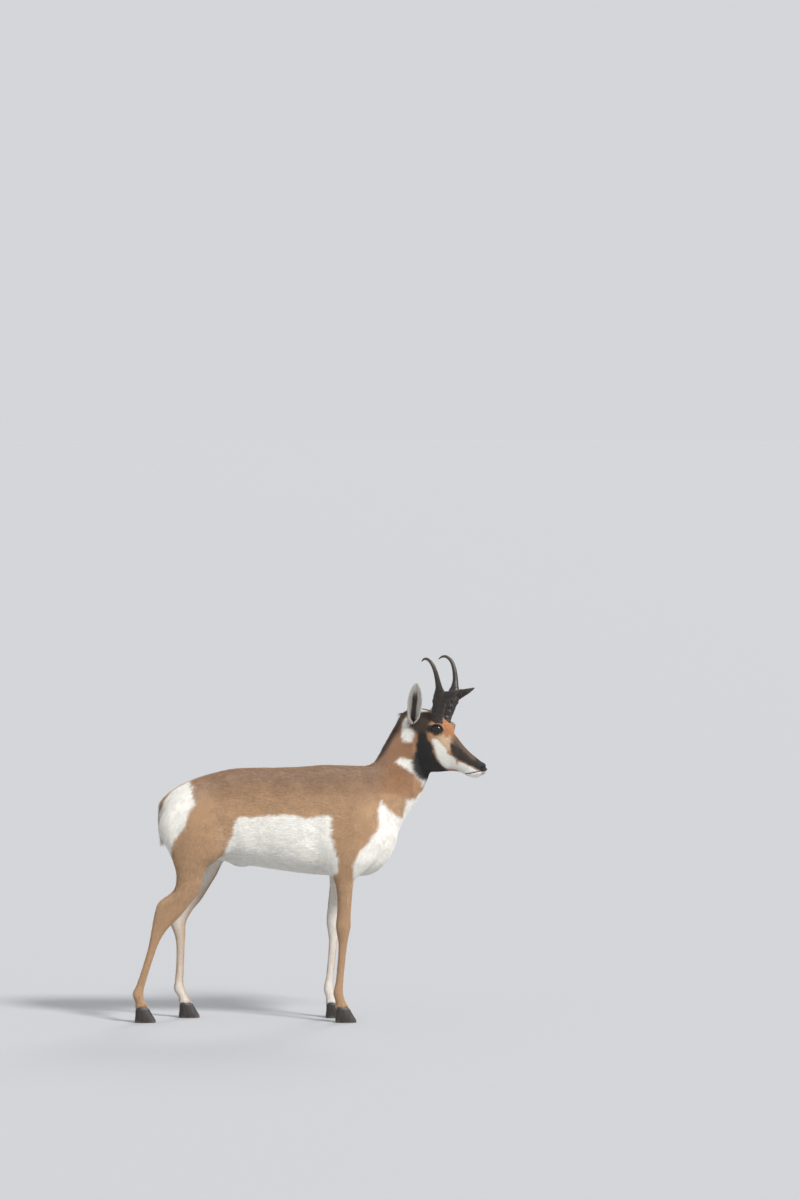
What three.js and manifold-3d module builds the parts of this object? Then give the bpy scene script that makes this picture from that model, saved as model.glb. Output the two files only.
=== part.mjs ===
// A pronghorn buck at life size, standing, with its head turned towards its right side.
// Millimetres. +X is the way the trunk faces, +Y the animal's left and +Z up. The origin is
// the middle of the base of the box round the whole animal, so the soles lie at Z = 0.
// Every surface is that of the coat, out to the tips of the hair.

import * as THREE from 'three';
import { LoftGeometry } from 'three/addons/geometries/LoftGeometry.js';
import { mergeVertices } from 'three/addons/utils/BufferGeometryUtils.js';
import Module from 'manifold-3d';

const wasm = await Module();
wasm.setup();

// Driving dimensions
const WITHERS = 876; // height of the back over the shoulder
const LEFT = 1;
const RIGHT = - 1;
const GAP = 0.3; // between neighbouring pieces
const LEG_SEAM = 2; // from a leg's own surface to the cut round its root
const FAR = 3000; // a box side that passes the whole animal

const HEAD_TURN = THREE.MathUtils.degToRad( 24 ); // of the head, towards the animal's right
const HEAD_PIVOT_X = 330; // where the head turns on the neck

const EYE_RADIUS = 18.5;
const EYE_FORWARD = 105;
const EYE_ASIDE = 46.5;
const EYE_HEIGHT = 999;

const EAR_LENGTH = 146;
const EAR_HALF_WIDTH = 23;
const EAR_WALL = 3.4;
const EAR_CURL = 1.25; // half of the angle that the cup wraps at its base, in radians

const SOLE = 0;
const CORONET = 46; // top of the hooves
const TOE_GAP = 3;

const TRUNK_SIDES = 20;
const HEAD_SIDES = 20;
const LEG_SIDES = 12;
const HORN_SIDES = 8;
const TOE_SIDES = 12;

// Stations along the animal. A section passes through a first and a second point of the
// side view, each [x, z], and reaches `half` to each side of `aside`. A positive `high`
// makes it widest near the first point, and `round` is 2 for an ellipse and more for a
// squarer section.

// from the rump to the chest: x, back, belly, half width, high
const TRUNK = [
	[ - 529, 748, 704, 20, 0 ],
	[ - 521, 765, 655, 52, 0 ],
	[ - 500, 784, 612, 82, 0 ],
	[ - 468, 809, 580, 106, 0 ],
	[ - 420, 831, 562, 121, 0.02 ],
	[ - 355, 850, 545, 130, 0.02 ],
	[ - 290, 864, 532, 131, - 0.02 ],
	[ - 215, 868, 519, 131, - 0.06 ],
	[ - 140, 868, 507, 134, - 0.10 ],
	[ - 60, 871, 496, 136, - 0.11 ],
	[ 10, 877, 489, 132, - 0.11 ],
	[ 75, WITHERS, 485, 125, - 0.13 ],
	[ 130, WITHERS - 1, 484, 117, - 0.12 ],
	[ 180, 868, 490, 106, - 0.08 ],
	[ 222, 838, 520, 88, 0 ],
	[ 256, 782, 574, 60, 0 ],
	[ 270, 735, 620, 34, 0 ],
];

// from the shoulders to the poll: nape x, z, throat x, z, half width, high
const NECK = [
	[ 60, 868, 180, 494, 96, - 0.1 ],
	[ 125, 874, 213, 520, 99, - 0.1 ],
	[ 166, 876, 241, 563, 90, - 0.1 ],
	[ 190, 888, 268, 622, 79, - 0.08 ],
	[ 210, 909, 299, 680, 71, - 0.05 ],
	[ 232, 947, 334, 734, 66, 0 ],
	[ 256, 987, 364, 787, 64, 0 ],
	[ 275, 1020, 382, 838, 63, 0 ],
	[ 290, 1048, 384, 884, 59, 0 ],
	[ 312, 1062, 372, 940, 44, 0 ],
];

// from the back of the skull to the nose, before the head is turned, counted forward from
// the pivot: crown s, z, jaw s, z, half width, high, round
const HEAD = [
	[ - 24, 1046, 0, 962, 36, 0, 2 ],
	[ - 6, 1066, 8, 898, 54, 0.05, 2 ],
	[ 30, 1069, 30, 860, 60, 0.05, 2.1 ],
	[ 66, 1055, 54, 849, 63, 0.10, 2.2 ],
	[ 94, 1040, 76, 847, 63, 0.20, 2.3 ],
	[ 118, 1015, 97, 849, 57, 0.20, 2.3 ],
	[ 138, 987, 119, 852, 49, 0.12, 2.3 ],
	[ 159, 962, 143, 854, 42, 0.05, 2.3 ],
	[ 183, 938, 164, 852, 36, 0, 2.3 ],
	[ 207, 918, 185, 844, 32.5, 0, 2.3 ],
	[ 231, 902, 203, 835, 31, 0, 2.3 ],
	[ 251, 886, 223, 831, 29, 0.04, 2.3 ],
	[ 264, 872, 241, 836, 23, 0.1, 2.2 ],
	[ 270, 860, 256, 846, 12, 0, 2 ],
];

// Each leg from the top down: front x, z, back x, z, middle y, half width. A leg starts
// inside the trunk, whose thin cut makes its upper edge.
const FORELEG = [
	[ 158, 805, 98, 805, 66, 22 ],
	[ 200, 745, 66, 745, 76, 40 ],
	[ 226, 682, 44, 682, 80, 46 ],
	[ 231, 622, 30, 622, 82, 47 ],
	[ 212, 566, 26, 558, 82, 46 ],
	[ 168, 522, 36, 514, 82, 42 ],
	[ 131, 488, 52, 482, 82, 35 ],
	[ 121, 450, 62, 446, 82, 29 ],
	[ 116, 405, 65, 402, 81, 26 ],
	[ 113, 362, 63, 358, 80, 23.5 ],
	[ 113, 328, 60, 328, 80, 24.5 ],
	[ 107, 297, 64, 297, 80, 19.5 ],
	[ 101, 262, 69, 262, 79, 15 ],
	[ 94, 200, 65, 200, 79, 13.5 ],
	[ 88, 138, 59, 138, 79, 14.5 ],
	[ 87, 99, 51, 99, 79, 18.5 ],
	[ 95, 72, 58, 72, 79, 18 ],
	[ 106, CORONET, 62, CORONET, 79, 21 ],
];
const HIND_LEG = [
	[ - 330, 812, - 440, 806, 60, 28 ],
	[ - 283, 765, - 492, 748, 72, 48 ],
	[ - 262, 708, - 540, 690, 76, 57 ],
	[ - 276, 650, - 533, 630, 80, 57 ],
	[ - 299, 602, - 509, 586, 84, 50 ],
	[ - 342, 558, - 493, 550, 88, 41 ],
	[ - 376, 524, - 483, 512, 90, 33 ],
	[ - 388, 484, - 483, 474, 90, 27 ],
	[ - 401, 446, - 494, 444, 89, 23.5 ],
	[ - 434, 403, - 541, 411, 88, 23 ],
	[ - 463, 366, - 556, 371, 87, 22 ],
	[ - 503, 326, - 564, 330, 86, 18 ],
	[ - 529, 290, - 571, 290, 86, 15 ],
	[ - 547, 250, - 579, 250, 85, 14 ],
	[ - 570, 182, - 599, 182, 84, 14 ],
	[ - 587, 124, - 619, 124, 83, 15 ],
	[ - 592, 96, - 632, 96, 83, 18.5 ],
	[ - 586, 70, - 622, 70, 83, 18 ],
	[ - 576, CORONET, - 619, CORONET, 83, 21 ],
];

// How far forward the left leg of a pair stands, for each of its stations in turn.
const LEFT_FORELEG_SHIFT = [ 0, 0, 0, 0, - 2, - 8, - 18, - 26, - 32, - 34, - 33, - 33, - 34 ];
const LEFT_HIND_LEG_SHIFT = [
	0, 8, 14, 22, 26, 38, 48, 42, 30, 35, 33, 52, 76, 92, 112, 127, 137, 143, 145,
];

// The horns, each station [forward from the head's pivot, height, aside, half depth fore
// and aft, half thickness].
const HORN = [
	[ 98, 1024, 34, 18, 15 ],
	[ 101, 1045, 39, 20.5, 16 ],
	[ 109, 1074, 47, 22, 15 ],
	[ 116, 1099, 54, 24, 13.5 ],
	[ 119, 1120, 60, 21, 12.5 ],
	[ 119, 1139, 67, 13, 11 ],
	[ 118, 1158, 73, 9.6, 9.6 ],
	[ 115, 1178, 77, 8.3, 8.3 ],
	[ 110, 1199, 80, 7.3, 7.3 ],
	[ 100, 1222, 82, 6.4, 6.4 ],
	[ 84, 1237, 80, 5.2, 5.2 ],
	[ 68, 1238, 76, 3.8, 3.8 ],
	[ 56, 1229, 71, 1.4, 1.4 ],
];
const PRONG = [
	[ 118, 1106, 57, 20, 11 ],
	[ 136, 1112, 59, 17, 10 ],
	[ 156, 1119, 61, 12, 8 ],
	[ 176, 1127, 64, 7, 6 ],
	[ 192, 1135, 66, 2, 2 ],
];

// The tail hangs close over the rump: front x, z, back x, z, half width.
const TAIL = [
	[ - 490, 762, - 506, 777, 17 ],
	[ - 508, 740, - 533, 752, 21 ],
	[ - 516, 708, - 543, 712, 22 ],
	[ - 517, 670, - 544, 669, 21 ],
	[ - 514, 634, - 540, 629, 16 ],
	[ - 512, 606, - 526, 600, 7 ],
];

// How each ear leaves the crown: root, and tip, each [forward, aside, height].
const EARS = {
	right: { side: RIGHT, root: [ 12, 44, 1040 ], tip: [ 58, 122, 1153 ] },
	left: { side: LEFT, root: [ 20, 44, 1038 ], tip: [ 112, 128, 1124 ] },
};

const COLOURS = {
	coat: 0xb98a63,
	pale: 0xe9e2d4,
	face: 0x4a382b,
	horn: 0x1b1817,
	hoof: 0x26211e,
	eye: 0x0b0908,
};

// A number raised to a power with its sign kept.
const signedPower = ( value, power ) => Math.sign( value ) * Math.abs( value ) ** power;

// One closed section through the points first and second, both [x, z].
function section( first, second, aside, half, sides, { high = 0, round = 2, grow = 0 } ) {

	const from = new THREE.Vector3( first[ 0 ], aside, first[ 1 ] );
	const to = new THREE.Vector3( second[ 0 ], aside, second[ 1 ] );
	const middle = from.clone().add( to ).multiplyScalar( 0.5 );
	const reach = from.clone().sub( to ).multiplyScalar( 0.5 );
	reach.setLength( reach.length() + grow );
	return Array.from( { length: sides }, ( _, k ) => {

		const angle = ( 2 * Math.PI * ( k + 0.5 ) ) / sides;
		const up = signedPower( Math.sin( angle ), 2 / round );
		const out = signedPower( Math.cos( angle ), 2 / round );
		const point = middle.clone().addScaledVector( reach, up );
		point.y += out * ( half + grow ) * ( 1 + high * up );
		return point;

	} );

}

// The volume inside a closed indexed geometry, below zero where its faces point inwards.
function signedVolume( geometry ) {

	const position = geometry.getAttribute( 'position' );
	const corner = [ 0, 1, 2 ].map( () => new THREE.Vector3() );
	let volume = 0;
	for ( let i = 0; i < geometry.index.count; i += 3 ) {

		corner.forEach( ( p, k ) => p.fromBufferAttribute( position, geometry.index.getX( i + k ) ) );
		volume += corner[ 0 ].dot( corner[ 1 ].cross( corner[ 2 ] ) ) / 6;

	}

	return volume;

}

// A skin over the sections with both ends closed and its faces outwards.
function loft( sections ) {

	const ends = { capStart: true, capEnd: true };
	const geometry = new LoftGeometry( sections, ends );
	if ( signedVolume( geometry ) > 0 ) return geometry;
	return new LoftGeometry( sections.map( ( points ) => points.slice().reverse() ), ends );

}

function solidOf( geometry ) {

	const bare = new THREE.BufferGeometry();
	bare.setAttribute( 'position', geometry.getAttribute( 'position' ) );
	bare.setIndex( geometry.index );
	const merged = mergeVertices( bare, 1e-3 );
	return new wasm.Manifold( new wasm.Mesh( {
		numProp: 3,
		vertProperties: merged.getAttribute( 'position' ).array,
		triVerts: new Uint32Array( merged.index.array ),
	} ) );

}

function geometryOf( solid ) {

	const mesh = solid.getMesh();
	const geometry = new THREE.BufferGeometry();
	geometry.setAttribute( 'position', new THREE.BufferAttribute( mesh.vertProperties, 3 ) );
	geometry.setIndex( new THREE.BufferAttribute( mesh.triVerts, 1 ) );
	geometry.computeVertexNormals();
	return geometry;

}

const joined = ( solids ) => solids.reduce( ( sum, solid ) => sum.add( solid ) );

// Turns what is modelled along the head's own length to where the head looks.
function turnedWithHead( geometry ) {

	return geometry.rotateZ( - HEAD_TURN ).translate( HEAD_PIVOT_X, 0, 0 );

}

// The space ahead of a plane through `point`, looking along `direction`.
function ahead( point, direction ) {

	const box = new THREE.BoxGeometry( FAR, FAR, FAR ).translate( 0, 0, FAR / 2 );
	const turn = new THREE.Quaternion().setFromUnitVectors(
		new THREE.Vector3( 0, 0, 1 ), direction.clone().normalize() );
	return solidOf( box.applyQuaternion( turn ).translate( point.x, point.y, point.z ) );

}

// Parts a solid on a plane and leaves the gap behind it.
function parted( solid, point, direction ) {

	const backed = point.clone().addScaledVector( direction.clone().normalize(), - GAP );
	return {
		front: solid.intersect( ahead( point, direction ) ),
		back: solid.subtract( ahead( backed, direction ) ),
	};

}

function trunkSolid( grow ) {

	return solidOf( loft( TRUNK.map( ( [ x, top, bottom, half, high ] ) =>
		section( [ x, top ], [ x, bottom ], 0, half, TRUNK_SIDES, { high, round: 2.15, grow } ) ) ) );

}

function neckSolid( grow ) {

	return solidOf( loft( NECK.map( ( [ x1, z1, x2, z2, half, high ] ) =>
		section( [ x1, z1 ], [ x2, z2 ], 0, half, TRUNK_SIDES, { high, grow } ) ) ) );

}

function headSolid( grow ) {

	return solidOf( turnedWithHead( loft( HEAD.map( ( [ s1, z1, s2, z2, half, high, round ] ) =>
		section( [ s1, z1 ], [ s2, z2 ], 0, half, HEAD_SIDES, { high, round, grow } ) ) ) ) );

}

function tailLoft() {

	return solidOf( loft( TAIL.map( ( [ x1, z1, x2, z2, half ] ) =>
		section( [ x1, z1 ], [ x2, z2 ], 0, half, TOE_SIDES, {} ) ) ) );

}

// A leg's stations moved to its side, and forward by `shift` for the left one.
function legStations( stations, side, shift ) {

	return stations.map( ( [ x1, z1, x2, z2, y, half ], i ) => {

		const forward = side === LEFT ? shift[ Math.min( i, shift.length - 1 ) ] : 0;
		return [ x1 + forward, z1, x2 + forward, z2, y * side, half ];

	} );

}

function legSolid( stations, grow ) {

	return solidOf( loft( stations.map( ( [ x1, z1, x2, z2, y, half ] ) =>
		section( [ x1, z1 ], [ x2, z2 ], y, half, LEG_SIDES, { round: 2.1, grow } ) ) ) );

}

// The low swelling under the belly that marks a buck.
function sheathSolid( grow ) {

	const ball = new THREE.SphereGeometry( 1, 12, 8 ).rotateX( Math.PI / 2 );
	return solidOf( ball.scale( 46 + grow, 17 + grow, 24 + grow ).translate( - 262, 0, 543 ) );

}

const LEGS = [
	[ 'foreleg_right', FORELEG, RIGHT, LEFT_FORELEG_SHIFT ],
	[ 'foreleg_left', FORELEG, LEFT, LEFT_FORELEG_SHIFT ],
	[ 'hind_leg_right', HIND_LEG, RIGHT, LEFT_HIND_LEG_SHIFT ],
	[ 'hind_leg_left', HIND_LEG, LEFT, LEFT_HIND_LEG_SHIFT ],
].map( ( [ name, stations, side, shift ] ) => (
	{ name, side, hind: stations === HIND_LEG, stations: legStations( stations, side, shift ) } ) );

// The whole animal without its horns, ears, eyes, tail and hooves, `grow` mm fatter.
function flesh( grow ) {

	return joined( [
		trunkSolid( grow ),
		neckSolid( grow ),
		headSolid( grow ),
		sheathSolid( grow ),
		...LEGS.map( ( leg ) => legSolid( leg.stations, grow ) ),
	] );

}

// The space that a leg takes out of the body: a disc over its upper muscles, from `inner`
// out past its side, and the leg itself below that, a little fattened.
function legSpace( leg, grow ) {

	const { x, z, radius, inner, from } = leg.hind
		? { x: - 392, z: 664, radius: 146, inner: 36, from: 1 }
		: { x: 122, z: 620, radius: 110, inner: 40, from: 2 };
	const reach = FAR / 2 - inner + grow;
	const disc = new THREE.CylinderGeometry( radius + grow, radius + grow, reach, 26 )
		.translate( x, leg.side * ( inner - grow + reach / 2 ), z );
	return solidOf( disc ).add( legSolid( leg.stations.slice( from ), LEG_SEAM + grow ) );

}

// One toe of a foot: level sections from the coronet to the flat sole, each pointed ahead.
function toeSolid( coronetFront, coronetBack, y ) {

	const half = 11.5;
	const levels = [
		{ z: CORONET - GAP, front: coronetFront + 1, back: coronetBack + 1, half: half - 1 },
		{ z: 26, front: coronetFront + 12, back: coronetBack - 1, half: half + 0.5 },
		{ z: 7, front: coronetFront + 24, back: coronetBack - 3, half: half + 1 },
		{ z: SOLE, front: coronetFront + 25, back: coronetBack - 1, half: half - 0.5 },
	];
	return solidOf( loft( levels.map( ( level ) =>
		Array.from( { length: TOE_SIDES }, ( _, k ) => {

			const angle = ( 2 * Math.PI * k ) / TOE_SIDES;
			const along = Math.cos( angle );
			return new THREE.Vector3(
				( level.front + level.back ) / 2 + along * ( level.front - level.back ) / 2,
				y + level.half * Math.sin( angle ) * ( 1 - 0.3 * along ) / 1.04,
				level.z );

		} ) ) ) );

}

// Sections square to a path in the head's own frame, `side` picking the left or right horn.
function hornGeometry( stations, side ) {

	const points = stations.map( ( [ s, z, aside ] ) => new THREE.Vector3( s, side * aside, z ) );
	const sections = stations.map( ( [ , , , depth, thickness ], i ) => {

		const before = points[ Math.max( i - 1, 0 ) ];
		const after = points[ Math.min( i + 1, points.length - 1 ) ];
		const along = after.clone().sub( before ).normalize();
		const across = new THREE.Vector3( 0, 1, 0 ).addScaledVector( along, - along.y ).normalize();
		const deep = new THREE.Vector3().crossVectors( along, across );
		return Array.from( { length: HORN_SIDES }, ( _, k ) => {

			const angle = ( 2 * Math.PI * k ) / HORN_SIDES;
			return points[ i ].clone()
				.addScaledVector( deep, depth * Math.cos( angle ) )
				.addScaledVector( across, thickness * Math.sin( angle ) );

		} );

	} );
	return turnedWithHead( loft( sections ) );

}

// A cupped leaf: a bent strip with a wall that wraps round a hollow, which opens forward and
// outward. The strip is widest a third of the way up, flattens and ends in a point.
function earGeometry( { side, root, tip } ) {

	const from = new THREE.Vector3( root[ 0 ], side * root[ 1 ], root[ 2 ] );
	const to = new THREE.Vector3( tip[ 0 ], side * tip[ 1 ], tip[ 2 ] );
	const along = to.clone().sub( from ).normalize();
	const mouth = new THREE.Vector3( 0.5, side * 0.86, 0 );
	mouth.addScaledVector( along, - mouth.dot( along ) ).normalize();
	const across = new THREE.Vector3().crossVectors( along, mouth );
	const rows = 8;
	const columns = 6;
	const sections = [];
	for ( let i = 0; i <= rows; i ++ ) {

		const t = i / rows;
		const width = EAR_HALF_WIDTH * ( 0.62 + 1.3 * t ) * Math.sqrt( 1.0005 - t ** 1.7 );
		const curl = EAR_CURL * ( 1.05 - 0.55 * t );
		const radius = width / Math.sin( curl ) + EAR_WALL;
		const wall = Math.min( EAR_WALL, radius * 0.5 );
		const centre = from.clone().addScaledVector( along, EAR_LENGTH * t )
			.addScaledVector( mouth, radius - 4 * t );
		const arc = ( r, a ) => centre.clone()
			.addScaledVector( mouth, - r * Math.cos( a ) )
			.addScaledVector( across, r * Math.sin( a ) );
		const ring = [];
		for ( let k = 0; k <= columns; k ++ ) ring.push( arc( radius, curl * ( 2 * k / columns - 1 ) ) );
		for ( let k = columns; k >= 0; k -- ) ring.push( arc( radius - wall, curl * ( 2 * k / columns - 1 ) ) );
		sections.push( ring );

	}

	return turnedWithHead( loft( sections ) );

}

function eyeSolid( side, grow ) {

	const ball = new THREE.SphereGeometry( EYE_RADIUS + grow, 14, 9 );
	return solidOf( turnedWithHead( ball.translate( EYE_FORWARD, side * EYE_ASIDE, EYE_HEIGHT ) ) );

}

const group = new THREE.Group();

function place( name, solid, colour, roughness ) {

	const material = new THREE.MeshStandardMaterial( { color: colour, roughness, metalness: 0 } );
	const mesh = new THREE.Mesh( geometryOf( solid ), material );
	mesh.name = name;
	group.add( mesh );

}

// The body in one, then parted: the legs leave it first, then the head and the neck.
const eyes = { right: eyeSolid( RIGHT, 0 ), left: eyeSolid( LEFT, 0 ) };
const body = flesh( 0 )
	.subtract( eyeSolid( RIGHT, GAP ) )
	.subtract( eyeSolid( LEFT, GAP ) );
const fattened = flesh( GAP );
const torso = LEGS.reduce( ( rest, leg ) => rest.subtract( legSpace( leg, GAP ) ), body );

const headCut = parted( torso, new THREE.Vector3( 338, 0, 950 ), new THREE.Vector3( 0.93, - 0.18, 0.3 ) );
const neckCut = parted( headCut.back, new THREE.Vector3( 226, 0, 730 ), new THREE.Vector3( 0.98, 0, 0.2 ) );
place( 'trunk', neckCut.back, COLOURS.coat, 0.9 );
place( 'neck', neckCut.front, COLOURS.coat, 0.9 );
place( 'head', headCut.front, COLOURS.face, 0.85 );
place( 'tail', tailLoft().subtract( fattened ), COLOURS.pale, 0.9 );

for ( const leg of LEGS ) {

	const whole = body.intersect( legSpace( leg, 0 ) );
	const joint = leg.hind
		? { at: leg.stations[ 9 ], tilt: new THREE.Vector3( 0.12, 0, - 1 ) }
		: { at: leg.stations[ 10 ], tilt: new THREE.Vector3( 0, 0, - 1 ) };
	const [ x1, z1, x2, z2 ] = joint.at;
	const cut = parted( whole, new THREE.Vector3( ( x1 + x2 ) / 2, 0, ( z1 + z2 ) / 2 ), joint.tilt );
	place( `${ leg.name }_upper`, cut.back, COLOURS.coat, 0.9 );
	place( `${ leg.name }_lower`, cut.front, COLOURS.coat, 0.9 );
	const [ front, , back, , y ] = leg.stations.at( - 1 );
	for ( const [ where, way ] of [ [ 'outer', leg.side ], [ 'inner', - leg.side ] ] ) {

		const toe = toeSolid( front, back, y + way * ( 12.9 + TOE_GAP / 2 ) );
		place( `${ leg.name }_hoof_${ where }`, toe, COLOURS.hoof, 0.5 );

	}

}

for ( const [ name, side ] of [ [ 'right', RIGHT ], [ 'left', LEFT ] ] ) {

	const horn = solidOf( hornGeometry( HORN, side ) ).subtract( fattened );
	const room = HORN.map( ( [ s, z, aside, depth, thickness ] ) => [ s, z, aside, depth + GAP, thickness + GAP ] );
	const prong = solidOf( hornGeometry( PRONG, side ) ).subtract( solidOf( hornGeometry( room, side ) ) );
	place( `horn_${ name }`, horn, COLOURS.horn, 0.55 );
	place( `horn_${ name }_prong`, prong, COLOURS.horn, 0.5 );
	place( `ear_${ name }`, solidOf( earGeometry( EARS[ name ] ) ).subtract( fattened ), COLOURS.pale, 0.9 );
	place( `eye_${ name }`, eyes[ name ], COLOURS.eye, 0.1 );

}

// Brings the middle of the box's base to the origin.
const box = new THREE.Box3().setFromObject( group );
const middle = box.getCenter( new THREE.Vector3() );
group.position.set( - middle.x, - middle.y, - box.min.z );

export default group;
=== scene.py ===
# %% [markdown]
# # A pronghorn buck in mesh, numpy and nodes
# The solids of this museum figure are packed already: trunk, neck, head, legs, ears, eyes,
# horns and hooves at their real size. This lesson loads them as a fixed frame and builds the
# looks over them: one skin, a coat of 475,000 small locks, eyes, horns and hooves.

# %% Load the frame
import bmesh
import bpy
import numpy as np
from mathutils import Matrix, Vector


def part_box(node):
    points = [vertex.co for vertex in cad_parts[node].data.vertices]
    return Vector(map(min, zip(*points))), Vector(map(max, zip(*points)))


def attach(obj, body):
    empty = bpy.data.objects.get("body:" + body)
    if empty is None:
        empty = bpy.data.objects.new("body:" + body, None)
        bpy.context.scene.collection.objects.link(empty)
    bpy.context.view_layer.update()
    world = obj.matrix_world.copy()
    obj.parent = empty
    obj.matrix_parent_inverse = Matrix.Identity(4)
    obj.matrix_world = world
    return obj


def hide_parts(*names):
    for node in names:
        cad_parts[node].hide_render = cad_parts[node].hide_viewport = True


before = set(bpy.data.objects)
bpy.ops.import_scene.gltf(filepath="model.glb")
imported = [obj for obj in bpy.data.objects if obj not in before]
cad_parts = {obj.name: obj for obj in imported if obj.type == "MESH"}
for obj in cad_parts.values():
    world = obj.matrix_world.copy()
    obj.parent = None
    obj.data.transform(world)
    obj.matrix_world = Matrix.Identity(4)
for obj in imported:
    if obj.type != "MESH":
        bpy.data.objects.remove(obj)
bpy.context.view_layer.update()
MM = 0.001
random = np.random.default_rng(20)

# %% [markdown]
# ## Camera
# The animal is seen from its right side through a long lens, which flattens it. One pixel of
# the 800 by 1200 picture is 3.4 mm at the animal, so the picture is 4.08 m tall there. We
# stand the camera 28 m off, three degrees up, and aim it where the picture's middle falls:
# right of the shoulder and a little over the horns.

# %% Camera
PIXEL = 3.4 * MM
PICTURE = (800, 1200)
ORIGIN_PIXEL = (310.1, 1021.0)  # where the frame's origin is seen
DISTANCE = 28.0
ELEVATION = np.radians(3.0)
SENSOR = 36.0

aim = Vector(((PICTURE[0] / 2 - ORIGIN_PIXEL[0]) * PIXEL, 0.0,
              (ORIGIN_PIXEL[1] - PICTURE[1] / 2) * PIXEL / np.cos(ELEVATION)))
camera_data = bpy.data.cameras.new("camera")
camera_data.sensor_fit = "VERTICAL"
camera_data.sensor_height = SENSOR
camera_data.lens = SENSOR * DISTANCE / (PICTURE[1] * PIXEL)
camera_data.clip_end = 200.0
camera = bpy.data.objects.new("camera", camera_data)
camera.location = aim + DISTANCE * Vector((0.0, -np.cos(ELEVATION), np.sin(ELEVATION)))
camera.rotation_euler = (np.pi / 2 - ELEVATION, 0.0, 0.0)
bpy.context.collection.objects.link(camera)
bpy.context.scene.camera = camera
print("camera at", tuple(round(v, 3) for v in camera.location), "lens", round(camera_data.lens, 1))

# %% [markdown]
# ## Meshes from arrays
# Every surface here is worked out with numpy and handed to Blender whole: `foreach_set`
# copies an array into the mesh at once, where a Python loop over vertices would take minutes.

# %% A mesh from arrays
def mesh_object(name, points, faces):
    """An object at the origin from points (n, 3) and faces (m, 3) or (m, 4)."""
    mesh = bpy.data.meshes.new(name)
    sides = faces.shape[1]
    mesh.vertices.add(len(points))
    mesh.vertices.foreach_set("co", np.ascontiguousarray(points, dtype=np.float32).ravel())
    mesh.loops.add(faces.size)
    mesh.loops.foreach_set("vertex_index", faces.astype(np.int32).ravel())
    mesh.polygons.add(len(faces))
    mesh.polygons.foreach_set("loop_start", np.arange(0, faces.size, sides, dtype=np.int32))
    mesh.update(calc_edges=True)
    mesh.validate()
    mesh.shade_smooth()
    thing = bpy.data.objects.new(name, mesh)
    bpy.context.collection.objects.link(thing)
    return thing


def taken(rows, field, width, kind=np.float32):
    """A field of a mesh's vertices, edges or corners as an array (n, width)."""
    flat = np.empty(width * len(rows), dtype=kind)
    rows.foreach_get(field, flat)
    return flat.reshape(-1, width)


def points_of(mesh):
    """The mesh's vertices as an array (n, 3)."""
    return taken(mesh.vertices, "co", 3).astype(float)


def normals_of(mesh):
    """The mesh's vertex normals as an array (n, 3)."""
    return taken(mesh.vertex_normals, "vector", 3).astype(float)


def lengths(vectors):
    """The length of each row of an array (n, 2) or (n, 3)."""
    return np.linalg.norm(vectors, axis=1)


def unit(vectors):
    """The same directions with length one."""
    return vectors / np.maximum(np.linalg.norm(vectors, axis=-1, keepdims=True), 1e-9)


def eased(value, low, high):
    """From 0 at `low` to 1 at `high`, level at both."""
    t = np.clip((value - low) / (high - low), 0, 1)
    return t * t * (3 - 2 * t)


def hump(value, size):
    """exp(-(value / size)^2): one where `value` is 0, next to nothing at twice the size."""
    return np.exp(-(value / size) ** 2)


# %% [markdown]
# ## Lofts
# A body is drawn as a boat builder draws a hull: by sections at stations along it. Each
# station names two points of the side view, how far the section reaches to each side, and
# how deep the coat is there. A smooth curve through the stations gives as many sections as
# the mesh wants, and every section is a rounded ring, pulled in by the coat's depth, since
# the stations trace the tips of the hair and the skin lies under them.

# %% The loft
def through(stations, count):
    """`count` rows on the Catmull-Rom curve through the rows of `stations`."""
    rows = np.asarray(stations, dtype=float)
    padded = np.vstack([2 * rows[0] - rows[1], rows, 2 * rows[-1] - rows[-2]])
    at = np.linspace(0, len(rows) - 1, count)
    i = np.minimum(at.astype(int), len(rows) - 2)
    t = (at - i)[:, None]
    a, b, c, d = (padded[i + k] for k in range(4))
    return 0.5 * (2 * b + (c - a) * t + (2 * a - 5 * b + 4 * c - d) * t**2
                  + (3 * b - a - 3 * c + d) * t**3)


def rings_mesh(rings):
    """Points and triangles of a closed skin over rings (sections, around, 3), its two ends
    closed by a fan to each end ring's middle."""
    n, m = rings.shape[:2]
    points = np.concatenate([rings.reshape(-1, 3), rings[0].mean(0)[None], rings[-1].mean(0)[None]])
    i, j = np.meshgrid(np.arange(n - 1), np.arange(m), indexing="ij")
    a, b = i * m + j, i * m + (j + 1) % m
    c, d = b + m, a + m
    walls = np.concatenate([np.stack(corners, -1).reshape(-1, 3) for corners in ([a, b, c], [a, c, d])])
    k = np.arange(m)
    first = np.stack([np.full(m, n * m), (k + 1) % m, k], -1)
    last = np.stack([np.full(m, n * m + 1), (n - 1) * m + k, (n - 1) * m + (k + 1) % m], -1)
    faces = np.concatenate([walls, first, last])
    corners = points[faces]
    volume = np.einsum("ij,ij->i", corners[:, 0], np.cross(corners[:, 1], corners[:, 2])).sum()
    return points, faces if volume > 0 else faces[:, ::-1]


def joined(rings_list):
    """Points and triangles of several closed lofts as one mesh."""
    points, faces, start = [], [], 0
    for rings in rings_list:
        ring_points, ring_faces = rings_mesh(rings)
        points.append(ring_points)
        faces.append(ring_faces + start)
        start += len(ring_points)
    return np.concatenate(points), np.concatenate(faces)


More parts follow.
